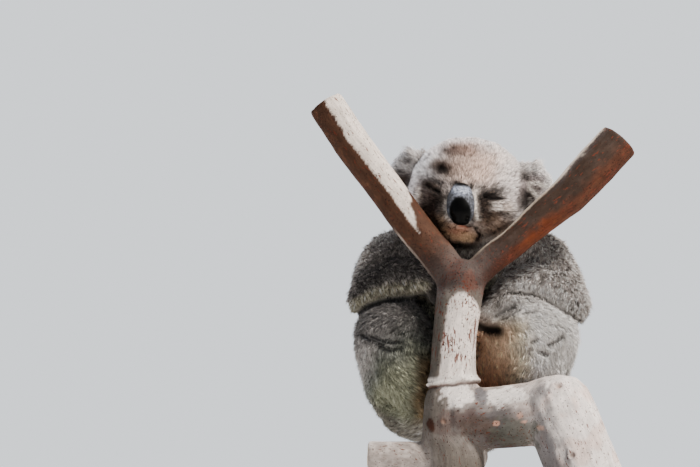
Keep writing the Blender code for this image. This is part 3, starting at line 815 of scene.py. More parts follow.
def tuft_mesh(name, rings, tips, colours, patches, faces):
    """One mesh of closed tufts: rings of three points, then a tip."""
    count = len(tips)
    points = np.concatenate(rings + [tips[:, None]], axis=1)
    size = points.shape[1]
    index = (np.arange(count)[:, None, None] * size + np.array(faces)[None]).ravel()
    mesh = bpy.data.meshes.new(name)
    mesh.vertices.add(count * size)
    mesh.vertices.foreach_set("co", points.astype(np.float32).ravel())
    mesh.loops.add(len(index))
    mesh.loops.foreach_set("vertex_index", index.astype(np.int32))
    mesh.polygons.add(len(index) // 3)
    mesh.polygons.foreach_set("loop_start", np.arange(0, len(index), 3, dtype=np.int32))
    mesh.update(calc_edges=True)
    set_attribute(mesh, "coat_colour", colours.reshape(-1, 3))
    spots = np.array([(-0.5, 0), (0.5, 0), (0, 0.2), (-0.4, 0.5), (0.4, 0.5), (0, 0.6), (0, 1)])
    spots = spots[[0, 1, 2, 6]] if size == 4 else spots
    unwrap = patches[:, None] + PATCH * (spots - np.array((0, 0.5)))[None]
    layer = mesh.uv_layers.new(name="OFBake")
    layer.data.foreach_set("uv", unwrap.reshape(-1, 2)[index].astype(np.float32).ravel())
    mesh.shade_smooth()
    return new_object(name, mesh)


def locks_of(root, clump):
    """The lock of each tuft: the nearest of the first roots, of which each clump has one."""
    locks = max(1, len(root) // clump)
    tree = KDTree(locks)
    for i in range(locks):
        tree.insert(root[i], i)
    tree.balance()
    return np.array([tree.find(place)[1] for place in root])


def clear_of_folds(root, tip, normal, height, on_body):
    """Keeps folds open: a tuft that would lie across one stops short, and those in it lie low."""
    across = np.maximum(folds_at(tip), folds_at((root + tip) / 2)) * on_body
    tip = tip + (root - tip) * (0.5 * across * (1 - folds_at(root)))[:, None]
    fold = on_body * np.maximum(folds_at(tip), folds_at((root + 2 * tip) / 3))
    return tip - normal * (0.7 * height * fold)[:, None], fold


def grow_coat(name, skin, coat, weight, count, rng, lift, width, clump, pull, reach=1.0,
              curved=False, fringed=False):
    """Tufts over part of the skin, in one of the STYLES.

    reach is their height as a share of the coat's depth. Fringed ones are longer, flatter and
    paler round the ears' rims.
    """
    picked, shares = scatter(skin, weight, count, rng)
    root, normal, lie, depth, zones, root_colour, contrast, rooted = [
        np.einsum("nc,nc...->n...", shares, values[skin.triangles[picked]])
        for values in (skin.points, skin.normals, skin.lie, skin.depth, skin.zones, skin.tips,
                       skin.contrast, skin.rooted)]
    normal = unit(normal)
    on_body = 1 - zones[:, 0] - zones[:, 1]
    patches = np.einsum("nc,ncd->nd", shares, skin.unwrap[picked])
    turn = np.radians(rng.normal(0, 9, count))[:, None]
    lie = unit(lie - (lie * normal).sum(1, keepdims=True) * normal)
    side = np.cross(normal, lie)
    lie = lie * np.cos(turn) + side * np.sin(turn)
    side = np.cross(normal, lie)

    lock = locks_of(root, clump)
    tone = rng.normal(0, 1, max(1, count // clump))[lock] * 0.85 + rng.normal(0, 1, count) * 0.5

    rise = np.radians(lift * rng.uniform(0.8, 1.15, count))
    height = reach * depth * rng.uniform(0.62, 1.0, count)
    pale = np.zeros(count)
    if fringed:
        height, rise, pale = fringe(root, height, rise, rng)
    length = height / np.sin(rise)
    tip = root + lie * (length * np.cos(rise))[:, None] + normal * height[:, None]
    lean = (pull * rng.uniform(0.5, 1, count))[:, None]
    gathered = tip[lock] + (root - root[lock]) * 0.2
    tip = tip + (gathered - tip) * lean
    tip, fold = clear_of_folds(root, tip, normal, height, on_body)
    axis = unit(tip - root)
    over = np.cross(side, axis) * -1
    breadth = (width * MM * rng.uniform(0.7, 1.3, count))[:, None]
    start = root - normal * 1.2 * MM
    bellied = root + (tip - root) * 0.5 + normal * (0.16 * length)[:, None]

    def ring(centre, share):
        across, above = side * breadth * 0.5 * share, over * breadth * 0.45 * share
        return np.stack([centre - across, centre + across, centre + above], axis=1)

    # Each lock's own tone, darkened in the folds as painted shade.
    shade = (np.exp(np.clip(contrast * tone, -1.8, 0.9)) * (1 - 0.88 * fold))[:, None]
    bright = markings(tip, normal, zones, coat)
    bright += (np.array(linear("#dcd6d1")) - bright) * pale[:, None]
    bright = np.clip(bright * shade, 0, 0.9)
    dark = (0.4 * root_colour * shade + 0.6 * bright) * (0.55 + rooted)[:, None]
    if curved:
        rings = [ring(start, 1), ring(bellied, 0.85)]
        colours = np.stack([dark] * 3 + [(dark + bright) * 0.45] * 3 + [bright], axis=1)
        faces = TUFT_CURVED
    else:
        rings = [ring(start, 1)]
        colours = np.stack([dark] * 3 + [bright], axis=1)
        faces = TUFT_STRAIGHT
    return tuft_mesh(name, rings, tip, colours, patches, faces)


def fringe(root, height, rise, rng):
    """Long pale hair round the ears' rims."""
    gap = np.minimum(*[
        np.linalg.norm(root - middle("ear_" + side), axis=1) for side in ("right", "left")])
    rim = step(gap, 20 * MM, 30 * MM)
    pale = rng.random(len(root)) * 0.4 * rim
    return height * (1 + 1.1 * rim), rise * (1 - 0.3 * rim), pale


# --- Operators ---

grown = {}  # the skin's arrays, kept for the coat


class OBJECT_OT_koala_skin(bpy.types.Operator):
    """One seamless skin over the flesh, inside the coat"""

    bl_idname = "object.koala_skin"
    bl_label = "Skin"

    def execute(self, context):
        coat = context.scene.koala_coat
        thing, shares, depth = build_skin(coat)
        unwrap_skin(thing)
        grown["skin"] = dress_skin(thing, shares, depth, coat)
        thing.data.materials.append(fur_material("short_undercoat_wool", bump=True))
        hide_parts(*FLESH)
        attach(thing, "root")
        return {"FINISHED"}


class OBJECT_OT_koala_coat(bpy.types.Operator):
    """Tufts of fur over the skin, short on face and paws, long on body and ears"""

    bl_idname = "object.koala_coat"
    bl_label = "Coat"

    def execute(self, context):
        skin, coat = grown["skin"], context.scene.koala_coat
        rng = np.random.default_rng(11)
        fur = fur_material("guard_hair", bump=False)
        body = skin.body
        face = skin.face * (1 - skin.tuftless)
        front = step(in_head(skin.points)[:, 1], -10, 5)
        wide = np.clip(skin.points[:, 0] / MM - 11, -1, 1)
        behind = step(skin.points[:, 1], 60 * MM, 61 * MM)
        zones = {"front_right": (wide < 0) * (1 - behind), "front_left": (wide >= 0) * (1 - behind),
                 "back_right": (wide < 0) * behind, "back_left": (wide >= 0) * behind}
        areas = {name: skin.area_of(body * zone) for name, zone in zones.items()}
        pieces = []  # name, style, where it grows, tufts
        for name, zone in zones.items():
            count = int(coat.body_tufts * areas[name] / sum(areas.values()))
            parts = math.ceil(count / MOST_STRAIGHT)
            for part in range(parts):
                pieces.append((f"coat_{name}_{part + 1}", "body", body * zone, count // parts))
        pieces += [
            ("coat_guard_hair", "guard", body * step(body, 0.8, 1), coat.guard_hairs),
            ("coat_face", "face", face * front, coat.face_tufts // 2),
            ("coat_crown", "crown", face * (0.25 + 0.75 * (1 - front)), coat.face_tufts // 2),
            ("coat_ears", "ears", skin.ears * step(skin.ears, 0.2, 0.7), EAR_TUFTS),
            ("coat_paws", "paws", skin.paws, PAW_TUFTS),
        ]
        for name, style, weight, count in pieces:
            piece = grow_coat(name, skin, coat, weight, count, rng, **STYLES[style])
            piece.data.materials.append(fur)
            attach(piece, "root")
        return {"FINISHED"}


class OBJECT_OT_koala_nose(bpy.types.Operator):
    """The bare nose pad with its nostrils"""

    bl_idname = "object.koala_nose"
    bl_label = "Nose"

    def execute(self, context):
        deselect_all()
        bpy.ops.mesh.primitive_uv_sphere_add(segments=64, ring_count=48, radius=1)
        nose = context.active_object
        nose.name = "nose_pad"
        local, dry_and_sheen = self.form(points_of(nose.data))
        set_attribute(nose.data, "dry_and_sheen", dry_and_sheen)
        set_points(nose.data, out_of_head(local * MM) + FROM_HEAD[:3, 3])
        face_outward(nose)
        nose.data.materials.append(self.leather())
        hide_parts("nose")
        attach(nose, "root")
        return {"FINISHED"}

    def form(self, ball):
        """The pad made from a ball's points, and at each point how much drier grey skin and painted
        sheen it shows.
        """
        x, y, z = ball.T
        # The sphere's rows are widened towards its ends, which makes it a long rounded pad. Its
        # sizes are millimetres in the head's frame.
        fuller = (1 - abs(z) ** 2.9) ** (1 / 2.9) / np.sqrt(np.maximum(1 - z * z, 1e-9))
        fuller = np.where(abs(z) < 1 - 1e-6, fuller, 0)
        x, y = x * fuller, y * fuller
        down = (1 - z) / 2
        half_width = 13 + 5 * step(down, -0.05, 0.5) - 4.5 * step(down, 0.72, 1.0)
        forward = 64 + 16.5 * step(down, -0.25, 0.72)
        local = np.stack([
            half_width * np.sign(x) * abs(x) ** 0.9,
            forward + np.where(y > 0, 11.5, 14) * y,
            -9.5 + 27 * z,
        ], axis=1)
        for side in (1, -1):
            # Each nostril is a comma that opens to the side, low on the pad.
            dent = blob(local - np.array((side * 9.5, 88, -27)), (3.0, 12, 3.2))
            dent += 0.6 * blob(local - np.array((side * 12.5, 86, -21)), (1.9, 12, 5))
            local[:, 1] -= 4.5 * dent * (y > -0.2)
        groove = np.exp(-(local[:, 0] / 1.4) ** 2) * step(-local[:, 2], 14, 28) * (y > 0)
        local[:, 1] -= 1.1 * groove
        # The moist black middle reaches the lip, and drier grey skin lies above and beside it. Its
        # blue-grey top is partly a painted reflection, and the upper middle is lifted further as a
        # painted highlight.
        reach = np.hypot(local[:, 0] / 14, (local[:, 2] + 20) / 20)
        dry_and_sheen = step(reach, 0.84, 1.04) * step(local[:, 2], -36, -30) * step(-local[:, 2], -17.5, -11)
        top = step(local[:, 2], -3, 8) * np.exp(-(local[:, 0] / 12) ** 4)
        local[:, 0] += 0.1 * (local[:, 2] + 36) - 1.8
        return local, dry_and_sheen * (0.6 + 0.4 * top)

    def leather(self):
        """Bare nose skin: black, finely pebbled and a little moist, so it takes a soft shine."""
        made, tree, shader = new_material("bare_nose_skin")
        place = add_node(tree, "ShaderNodeTexCoord").outputs["Object"]
        # Pebbles are about 1 mm across, and the flakes of the drier grey skin about 3 mm.
        pebbles = add_node(tree, "ShaderNodeTexVoronoi", {"Scale": 900}, {"Vector": place})
        flakes = add_node(tree, "ShaderNodeTexNoise", {
            "Scale": 330, "Detail": 4, "Roughness": 0.7}, {"Vector": place})
        dry_and_sheen = add_node(tree, "ShaderNodeAttribute", attribute_name="dry_and_sheen").outputs["Fac"]
        worn = add_node(tree, "ShaderNodeMapRange", {
            "From Min": 0.3, "From Max": 0.7, "To Min": 0.55, "To Max": 1.25}, {"Value": flakes})
        share = add_node(tree, "ShaderNodeMath", links={0: dry_and_sheen, 1: worn}, operation="MULTIPLY")
        # The palest blue-grey stops are partly a painted reflection on the nose's top.
        tone = add_node(tree, "ShaderNodeValToRGB", links={"Fac": share}, stops=[
            (0.0, "#020202"), (0.3, "#0f1011"), (0.6, "#4b4d53"), (0.85, "#82899a"),
            (1.0, "#b4bbc8")])
        rough = add_node(tree, "ShaderNodeMapRange", {"To Min": 0.36, "To Max": 0.62}, {"Value": dry_and_sheen})
        raised = add_node(
            tree, "ShaderNodeBump", {"Strength": 0.25, "Distance": 0.3 * MM}, {"Height": pebbles})
        set_sockets(shader, {"Specular IOR Level": 0.07}, {
            "Base Color": tone, "Roughness": rough, "Normal": raised})
        return made


class OBJECT_OT_koala_lids(bpy.types.Operator):
    """The bare dark rims of the closed lids, which meet in a slit"""

    bl_idname = "object.koala_lids"
    bl_label = "Eyelids"

    def execute(self, context):
        finish = self.lid_skin()
        skin = bpy.data.objects["koala_skin"].data
        tree = BVHTree.FromPolygons(
            [vertex.co for vertex in skin.vertices], [face.vertices[:] for face in skin.polygons])
        for side in EYES:
            lid = self.rim(side, tree)
            lid.data.materials.append(finish)
            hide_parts("eyelids_" + side)
            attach(lid, "root")
        return {"FINISHED"}

    def rim(self, side, tree):
        """A flat grooved bead on the skin, from corner to corner of a closed eye."""
        inner, outer = EYES[side]
        start = HEAD @ (Vector(((inner[0] + outer[0]) / 2, 200, (inner[1] + outer[1]) / 2)) * MM)
        hit = tree.ray_cast(start, Vector(-FROM_HEAD[:3, 1]))
        if hit[0] is None:
            raise RuntimeError("the skin has no face under the " + side + " eye")
        deselect_all()
        bpy.ops.mesh.primitive_uv_sphere_add(segments=48, ring_count=32, radius=1)
        lid = bpy.context.active_object
        lid.name = "eyelids_closed_" + side
        x, y, z = points_of(lid.data).T
        run = np.subtract(outer, inner)
        half = np.hypot(*run) / 2
        tilted = np.array(((run[0], run[1]), (-run[1], run[0]))) / (2 * half)
        groove = np.exp(-(z / 0.16) ** 2) * (y > 0)
        # The slit sags in its middle, as the upper lid comes down over the eye.
        along = np.stack([
            1.05 * half * x, 3.4 * y - 1.2 - 1.5 * groove, 2.3 * z - 1.4 * (1 - x * x)], axis=1)
        along[:, ::2] = along[:, ::2] @ tilted
        facing = unit(0.6 * np.array(hit[1]) + 0.4 * FROM_HEAD[:3, 1])
        right = unit(np.cross(facing, FROM_HEAD[:3, 2]))
        axes = np.stack([right, facing, np.cross(right, facing)])
        set_points(lid.data, np.array(hit[0]) + along * MM @ axes)
        face_outward(lid)
        return lid

    def lid_skin(self):
        """Lid skin: dark, not moist, and finely wrinkled."""
        made, tree, shader = new_material("lid_skin")
        place = add_node(tree, "ShaderNodeTexCoord").outputs["Object"]
        # Wrinkles are about 1.4 mm apart.
        wrinkles = add_node(tree, "ShaderNodeTexNoise", {"Scale": 700, "Detail": 3}, {"Vector": place})
        tone = add_node(tree, "ShaderNodeValToRGB", links={"Fac": wrinkles}, stops=[
            (0.3, "#0b0807"), (0.7, "#1c1512")])
        raised = add_node(
            tree, "ShaderNodeBump", {"Strength": 0.4, "Distance": 0.4 * MM}, {"Height": wrinkles})
        set_sockets(shader, {"Roughness": 0.8, "Specular IOR Level": 0.15}, {
            "Base Color": tone, "Normal": raised})
        return made


class OBJECT_OT_koala_claws(bpy.types.Operator):
    """Long curved claws, one piece for each paw"""

    bl_idname = "object.koala_claws"
    bl_label = "Claws"

    def execute(self, context):
        finish = self.horn()
        for paw in PAWS:
            nodes = [name for name in sorted(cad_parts) if name.startswith("claw_" + paw)]
            claws = copy_of_nodes("claws_" + paw, nodes, swell=0.25 * MM)
            finish_with(claws, "SUBSURF", levels=2, render_levels=2)
            claws.data.shade_smooth()
            claws.data.materials.append(finish)
            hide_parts(*nodes)
            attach(claws, "root")
        return {"FINISHED"}

    def horn(self):
        """Claw horn: dark, smooth and polished by bark, with growth lines along it."""
        made, tree, shader = new_material("claw_horn")
        place = add_node(tree, "ShaderNodeTexCoord").outputs["Object"]
        # Growth lines are finer than 1 mm, and are drawn as 3 mm clouds, which still show.
        streaks = add_node(tree, "ShaderNodeTexNoise", {"Scale": 350, "Detail": 3}, {"Vector": place})
        tone = add_node(tree, "ShaderNodeValToRGB", links={"Fac": streaks}, stops=[
            (0.35, "#17120f"), (0.75, "#4a3a2e")])
        set_sockets(shader, {"Roughness": 0.3}, {"Base Color": tone})
        return made


# --- Perch ---

CUTS = {  # each sawn end: the node, the way it faces
    "fork_stem": (0, 0, -1), "fork_arm_right": (-0.55, 0, 0.83),
    "fork_arm_left": (0.66, -0.03, 0.74), "fork_bend": (0.28, -0.11, -0.95),
    "fork_seat": (0.1, 0.98, 0.16), "fork_stub": (-1, 0.02, 0.04),
}
KNOTS = [  # middle and radius in millimetres of each healed twig scar
    ((110, -130, 237), 7), ((122, -149, 154), 5), ((80, -119, 207), 4), ((-28, -94, 198), 4),
]
STEM_MIDDLE = -14  # x in millimetres
COLLAR = ((-40, 246), (14, 251))  # x and z at both ends of the swollen ring's front


def ragged(points, seed):
    """Noise for a torn edge, coarse and fine together."""
    return 0.6 * mottle(points, 15 * MM, seed) + 0.4 * mottle(points, 4.5 * MM, seed + 1)


def collar_gap(points):
    """How far each point lies above the middle of the stem's swollen ring, in millimetres."""
    (x1, z1), (x2, z2) = COLLAR
    x, z = points[:, 0] / MM, points[:, 2] / MM
    return z - z1 - (x - x1) * (z2 - z1) / (x2 - x1) + 1.8 * mottle(points, 17 * MM, 51)


def groove_at(gap):
    """1 in the groove that runs under the swollen ring, and 0 away from it."""
    return np.exp(-((gap + 4.5) / 1.7) ** 2)


def stem_alone(points, shares):
    """The stem's share of each point, without the limb and the stub beside it."""
    return shares["fork_stem"] * step(-abs(points[:, 0] / MM - STEM_MIDDLE), -48, -40)


def knot_gaps(points):
    """For each knot, its radius and how many radii each point lies from its middle."""
    return [(radius, np.linalg.norm(points / MM - np.array(place), axis=1) / radius)
            for place, radius in KNOTS]


def build_perch(perch):
    """The fork as one piece of timber, with its swellings, collar, knots and sawn ends."""
    fork = copy_of_nodes("gum_fork", PERCH, swell=0.5 * MM)
    finish_with(fork, "REMESH", mode="VOXEL", voxel_size=perch.voxel)
    keep_largest(fork)
    finish_with(fork, "SMOOTH", factor=0.5, iterations=14)

    def worked(middles):
        near = abs(collar_gap(middles)) < 14
        near &= (abs(middles[:, 0] / MM - STEM_MIDDLE) < 50) & (middles[:, 1] < 0)
        for _, off in knot_gaps(middles):
            near |= off < 2.5
        return near

    refine(fork, worked)
    points = points_of(fork.data)
    normals = normals_of(fork.data)
    shares = nearness(points, PERCH, 8 * MM)
    rise = 1.2 * mottle(points, 55 * MM, 1) + 0.5 * mottle(points, 17 * MM, 2)
    gap = collar_gap(points)
    swollen = 2.8 * np.exp(-(gap / 2.2) ** 2) + 0.8 * step(gap, -6, 0) * step(-gap, -22, 0)
    rise += stem_alone(points, shares) * (swollen - 2.2 * groove_at(gap))
    uneven = 0.5 * mottle(points, 7 * MM, 40)
    for radius, off in knot_gaps(points):
        off += uneven
        rise += 0.22 * radius * (np.exp(-((off - 0.9) / 0.7) ** 2) - np.exp(-(off / 0.5) ** 2))
    set_points(fork.data, points + normals * rise[:, None] * MM)
    fork.data.shade_smooth()
    return fork, shares


BARK_SPOTS = [  # middle and half sizes in millimetres, colour, share
    ((-11, -95, 231), (19, 40, 16), "#e6ded8", 0.95),  # pale under the collar: peeled bark and a painted pool of sunlight
    ((46, -105, 229), (27, 40, 13), "#e2dbd5", 0.95),  # pale on the limb: peeled bark and a painted pool of sunlight
    ((19, -100, 233), (8, 40, 15), "#5c5b5f", 0.85),  # grey between them: older bark and a painted band of shadow
    ((8, -95, 372), (10, 30, 16), "#5d3d33", 0.6),  # last of the old bark at the crotch
    ((-20, -95, 196), (22, 30, 15), "#5a4c47", 0.7),  # old bark low on the stem
    ((12, -110, 192), (24, 40, 14), "#53463f", 0.7),
    ((58, -110, 180), (30, 40, 20), "#56574f", 0.7),  # green-grey under the limb
    ((-44, -82, 197), (6, 12, 8), "#3a2015", 0.95),  # cleft
    ((36.7, -105, 194), (4, 12, 3), "#d9a58e", 0.8),  # pale pink dots on the limb: painted spots of light
    ((64, -115, 204), (3.5, 12, 3.5), "#d9ab95", 0.7),
    ((69, -118, 196), (3, 12, 2), "#d9a58e", 0.7), ((88, -127, 188), (4, 12, 3), "#c9a08c", 0.6),
]


def paint_arms(colours, points, normals, shares, torn, perch):
    """The two arms of the fork."""
    x, _, z = (points / MM).T
    arm_right, arm_left = shares["fork_arm_right"], shares["fork_arm_left"]
    # The right arm keeps brown old bark below, which ends in a torn edge. Its pale side, which faces
    # the light, is partly peeled bark and partly painted sunlight; the brown is partly painted shade,
    # which covers its upper rim lower down and all of it below about 430 mm.
    side = normals @ unit(np.array((0.83, -0.1, 0.55)))
    end = np.clip((512 - z) / 78, 0, 1)
    peeled_and_sunlit = np.minimum(side + 0.04, 1.25 - 1.25 * end - side)
    peeled_and_sunlit += (0.22 - 0.17 * end) * torn - 0.5 * step(-z, -436, -424)
    paint(colours, "#472f22", arm_right * step(-peeled_and_sunlit, -0.04, 0.05))
    paint(colours, "#61402e", 0.6 * arm_right * step(-peeled_and_sunlit, 0.25, 0.6) * step(torn, 0, 0.3))
    paint(colours, "#d6cabf", arm_right * step(peeled_and_sunlit, -0.02, 0.06))
    edge = np.exp(-((peeled_and_sunlit + 0.05) / 0.05) ** 2) * step(mottle(points, 26 * MM, 34), -0.05, 0.2)
    paint(colours, "#2c1710", 0.9 * arm_right * edge)
    # A pale rim low on the side that faces away from the light: painted rim light.
    paint(colours, "#c9b9ab", 0.8 * arm_right * step(-side, 0.88, 0.97) * step(-z, -450, -430))
    # The left arm is brown, rustier below, with a thin pale upper edge that is painted light.
    side = normals @ unit(np.array((-0.74, 0, 0.66)))
    paint(colours, "#2c1d14", 0.97 * arm_left)
    inward = 0.35 + 0.65 * step(-x, -150, -90)
    paint(colours, perch.rust, inward * arm_left * step(-side + 0.5 * torn, 0.0, 0.6))
    paint(colours, "#743f1f", 0.5 * inward * arm_left * step(-side + 0.9 * torn, 0.55, 1.0))
    paint(colours, "#cbbba9", 0.85 * arm_left * step(side + 0.1 * torn, 0.78, 0.93))


def paint_stem(colours, points, shares, torn, perch):
    """The crotch, a purplish grey, and the stem below it, pale except on its right side; both carry
    painted light and shade.
    """
    x, _, z = (points / MM).T
    stem, arms = shares["fork_stem"], shares["fork_arm_right"] + shares["fork_arm_left"]
    # Painted shade under the chin darkens the purplish grey crotch.
    crotch = (stem + 0.7 * arms) * step(z, 335, 372) * step(-z, -440, -396)
    paint(colours, "#2f2523", 0.94 * np.clip(crotch, 0, 1))
    # The pale patch is peeled bark lit by painted sunlight; the grey round it is bark in painted shade.
    pale_left = -24.5 + 0.13 * (z - 321) + 4 * torn
    pale_and_sunlit = step(x - pale_left, -1.5, 1.5) * step(362 - 0.04 * (x + 2) ** 2 + 5 * torn - z, 0, 4)
    pale_and_sunlit *= step(z, 236, 246)
    paint(colours, "#565049", 0.94 * stem * (1 - pale_and_sunlit) * step(-z, -372, -350))
    paint(colours, perch.pale, 0.95 * stem * pale_and_sunlit)


def paint_limb(colours, points, normals, shares, torn):
    """The limb that bends forward: pale on top and greyer underneath, partly as painted shade, and
    palest in its bend, whose right side is painted shade.
    """
    limb, bend = shares["fork_limb"], shares["fork_bend"]
    # Greyer underneath: weathered bark and painted shade.
    grey_and_shaded_below = step(-normals[:, 2] + 0.25 * torn, -0.5, -0.2)
    paint(colours, "#4a4647", 0.94 * limb * grey_and_shaded_below)
    patches = step(mottle(points, 19 * MM, 52), 0.05, 0.3)
    paint(colours, "#46312d", 0.7 * limb * grey_and_shaded_below * patches)
    paint(colours, "#e4dbd6", 0.92 * bend)
    paint(colours, "#cdb2a6", 0.55 * bend * step(mottle(points, 20 * MM, 36), 0.05, 0.4))
    # Painted shade on the bend's right side.
    paint(colours, "#5f5d60", 0.85 * bend * step(-normals[:, 0] + 0.2 * torn, 0.35, 0.65))


def paint_bark(points, normals, shares, perch):
    """Colours by where the bark has peeled, weathered or kept a stain, and where light and shade are
    painted on it.
    """
    torn = ragged(points, 31)
    colours = np.tile(np.array(perch.grey), (len(points), 1))
    paint(colours, perch.pale, 0.55 * step(torn, -0.2, 0.5) + 0.2)
    paint_arms(colours, points, normals, shares, torn, perch)
    paint_stem(colours, points, shares, torn, perch)
    paint_limb(colours, points, normals, shares, torn)
    for place, halves, colour, share in BARK_SPOTS:
        off = np.linalg.norm((points / MM - np.array(place)) / np.array(halves), axis=1)
        paint(colours, colour, share * step(1.1 - off + 0.9 * torn, -0.05, 0.3))
    gap = collar_gap(points)
    on_stem = stem_alone(points, shares)
    paint(colours, "#e2d9d1", on_stem * step(gap, -3, -1) * step(-gap, -9, -4))
    # Painted shadow in the groove under the swollen ring.
    paint(colours, "#5b3a30", 0.9 * on_stem * groove_at(gap))
    for _, off in knot_gaps(points):
        paint(colours, "#8a6b5a", 0.65 * np.exp(-((off + 0.6 * torn) / 0.8) ** 2))
    return colours


def mark_perch(fork, shares, perch):
    """Stores the bark's colours, its grain, its flecks and its sawn ends."""
    points, normals = points_of(fork.data), normals_of(fork.data)
    set_attribute(fork.data, "bark_colour", paint_bark(points, normals, shares, perch))
    # Places are drawn together along each branch, so that a pattern on them runs lengthwise.
    drawn = points.copy()
    for node, share in shares.items():
        corners = points_of(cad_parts[node].data)
        centre = corners.mean(axis=0)
        run = np.linalg.svd(corners - centre, full_matrices=False)[2][0]
        drawn -= 0.78 * (share * ((points - centre) @ run))[:, None] * run
    set_attribute(fork.data, "grain_place", drawn + 1)
    field = step(mottle(points, 28 * MM, 38), -0.15, 0.35)
    stem = shares["fork_stem"] * step(points[:, 2], 0.26, 0.28)
    below = step(-normals[:, 2], 0.1, 0.7)
    flecks = (0.25 + 0.75 * field) * (0.8 * stem + shares["fork_arm_left"] * (0.2 + 0.5 * below)
                                      + 0.5 * shares["fork_limb"] * below
                                      + 0.2 * shares["fork_arm_right"])
    set_attribute(fork.data, "flecks", np.clip(flecks, 0, 1))
    ring = np.full(len(points), 2.0)
    for node, facing in CUTS.items():
        low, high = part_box(node)
        facing = unit(np.array(facing, float))
        near = ((points > np.array(low) - 2 * MM) & (points < np.array(high) + 2 * MM)).all(axis=1)
        reach = (points[near] @ facing).max()
        flat = near & (points @ facing > reach - 4 * MM) & (normals @ facing > 0.9)
        out = np.linalg.norm(points - points[flat].mean(axis=0), axis=1)
        ring[flat] = out[flat] / out[flat].max()
    set_attribute(fork.data, "ring", ring)


def bark_material():
    """Smooth gum bark: matt, with fine lengthwise streaks, dark pores and rusty flecks."""
    made, tree, shader = new_material("smooth_gum_bark")
    place = add_node(tree, "ShaderNodeTexCoord").outputs["Object"]
    grain = add_node(tree, "ShaderNodeAttribute", attribute_name="grain_place")
    tone = add_node(tree, "ShaderNodeAttribute", attribute_name="bark_colour")
    thick = add_node(tree, "ShaderNodeAttribute", attribute_name="flecks").outputs["Fac"]
    # Streaks are about 4 mm wide and blotches about 17 mm across.
    streaks = add_node(tree, "ShaderNodeTexNoise", {
        "Scale": 230, "Detail": 4, "Roughness": 0.6}, {"Vector": grain})
    blotches = add_node(tree, "ShaderNodeTexNoise", {
        "Scale": 60, "Detail": 5, "Roughness": 0.65}, {"Vector": place})
    for cells, darkest in ((streaks, 0.76), (blotches, 0.8)):
        share = add_node(tree, "ShaderNodeMapRange", {
            "From Min": 0.3, "From Max": 0.7, "To Min": darkest, "To Max": 1.14}, {"Value": cells})
        tone = add_node(
            tree, "ShaderNodeVectorMath", links={0: tone, 1: share}, operation="MULTIPLY")
    # Rusty flecks are 2 to 5 mm long and lie lengthwise, and pores are dots of 1 to 2 mm.
    dots = [  # where they are drawn, scale, detail, pull of the flecks' share, start, end, colour
        (grain, 400, 2, 0.17, 0.65, 0.68, "#5e2e20"), (place, 430, 1, 0.08, 0.665, 0.705, "#2b1712"),
    ]
    for where, scale, detail, pull, start, end, mark in dots:
        cells = add_node(tree, "ShaderNodeTexNoise", {
            "Scale": scale, "Detail": detail, "Roughness": 0.6}, {"Vector": where})
        amount = add_node(
            tree, "ShaderNodeMath", {1: pull}, {0: thick, 2: cells}, operation="MULTIPLY_ADD")
        share = add_node(tree, "ShaderNodeMapRange", {
            "From Min": start, "From Max": end, "To Max": 0.9}, {"Value": amount})
        tone = add_node(tree, "ShaderNodeMix", {"B": (*linear(mark), 1)}, {
            "Factor": share, "A": tone}, data_type="RGBA")
    # Sawn ends show heartwood, sapwood in rings about 3 mm wide, and a thin dark rim of bark.
    ring = add_node(tree, "ShaderNodeAttribute", attribute_name="ring").outputs["Fac"]
    wood = add_node(tree, "ShaderNodeValToRGB", links={"Fac": ring}, stops=[
        (0.0, "#9a6b47"), (0.5, "#b98c63"), (0.62, "#d2b68c"), (0.9, "#d9c096"), (0.94, "#5b4031")])
    turns = add_node(tree, "ShaderNodeMath", {1: 62}, {0: ring}, operation="MULTIPLY")
    waves = add_node(tree, "ShaderNodeMath", links={0: turns}, operation="SINE")
    shade = add_node(tree, "ShaderNodeMapRange", {
        "From Min": -1, "To Min": 0.84, "To Max": 1.05}, {"Value": waves})
    sawn = add_node(tree, "ShaderNodeVectorMath", links={0: wood, 1: shade}, operation="MULTIPLY")
    is_cut = add_node(tree, "ShaderNodeMath", {1: 1.2}, {0: ring}, operation="LESS_THAN")
    tone = add_node(tree, "ShaderNodeMix", links={
        "Factor": is_cut, "A": tone, "B": sawn}, data_type="RGBA")
    height = add_node(tree, "ShaderNodeMath", links={0: streaks, 1: blotches}, operation="ADD")
    raised = add_node(
        tree, "ShaderNodeBump", {"Strength": 0.6, "Distance": 1.2 * MM}, {"Height": height})
    set_sockets(shader, {"Roughness": 0.72, "Specular IOR Level": 0.1}, {
        "Base Color": tone, "Normal": raised})
    return made


class OBJECT_OT_koala_perch(bpy.types.Operator):
    """The cut fork of a smooth-barked gum tree"""

    bl_idname = "object.koala_perch"
    bl_label = "Perch"

    def execute(self, context):
        perch = context.scene.koala_perch
        fork, shares = build_perch(perch)
        mark_perch(fork, shares, perch)
        fork.data.materials.append(bark_material())
        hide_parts(*PERCH)
        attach(fork, "root")
        return {"FINISHED"}


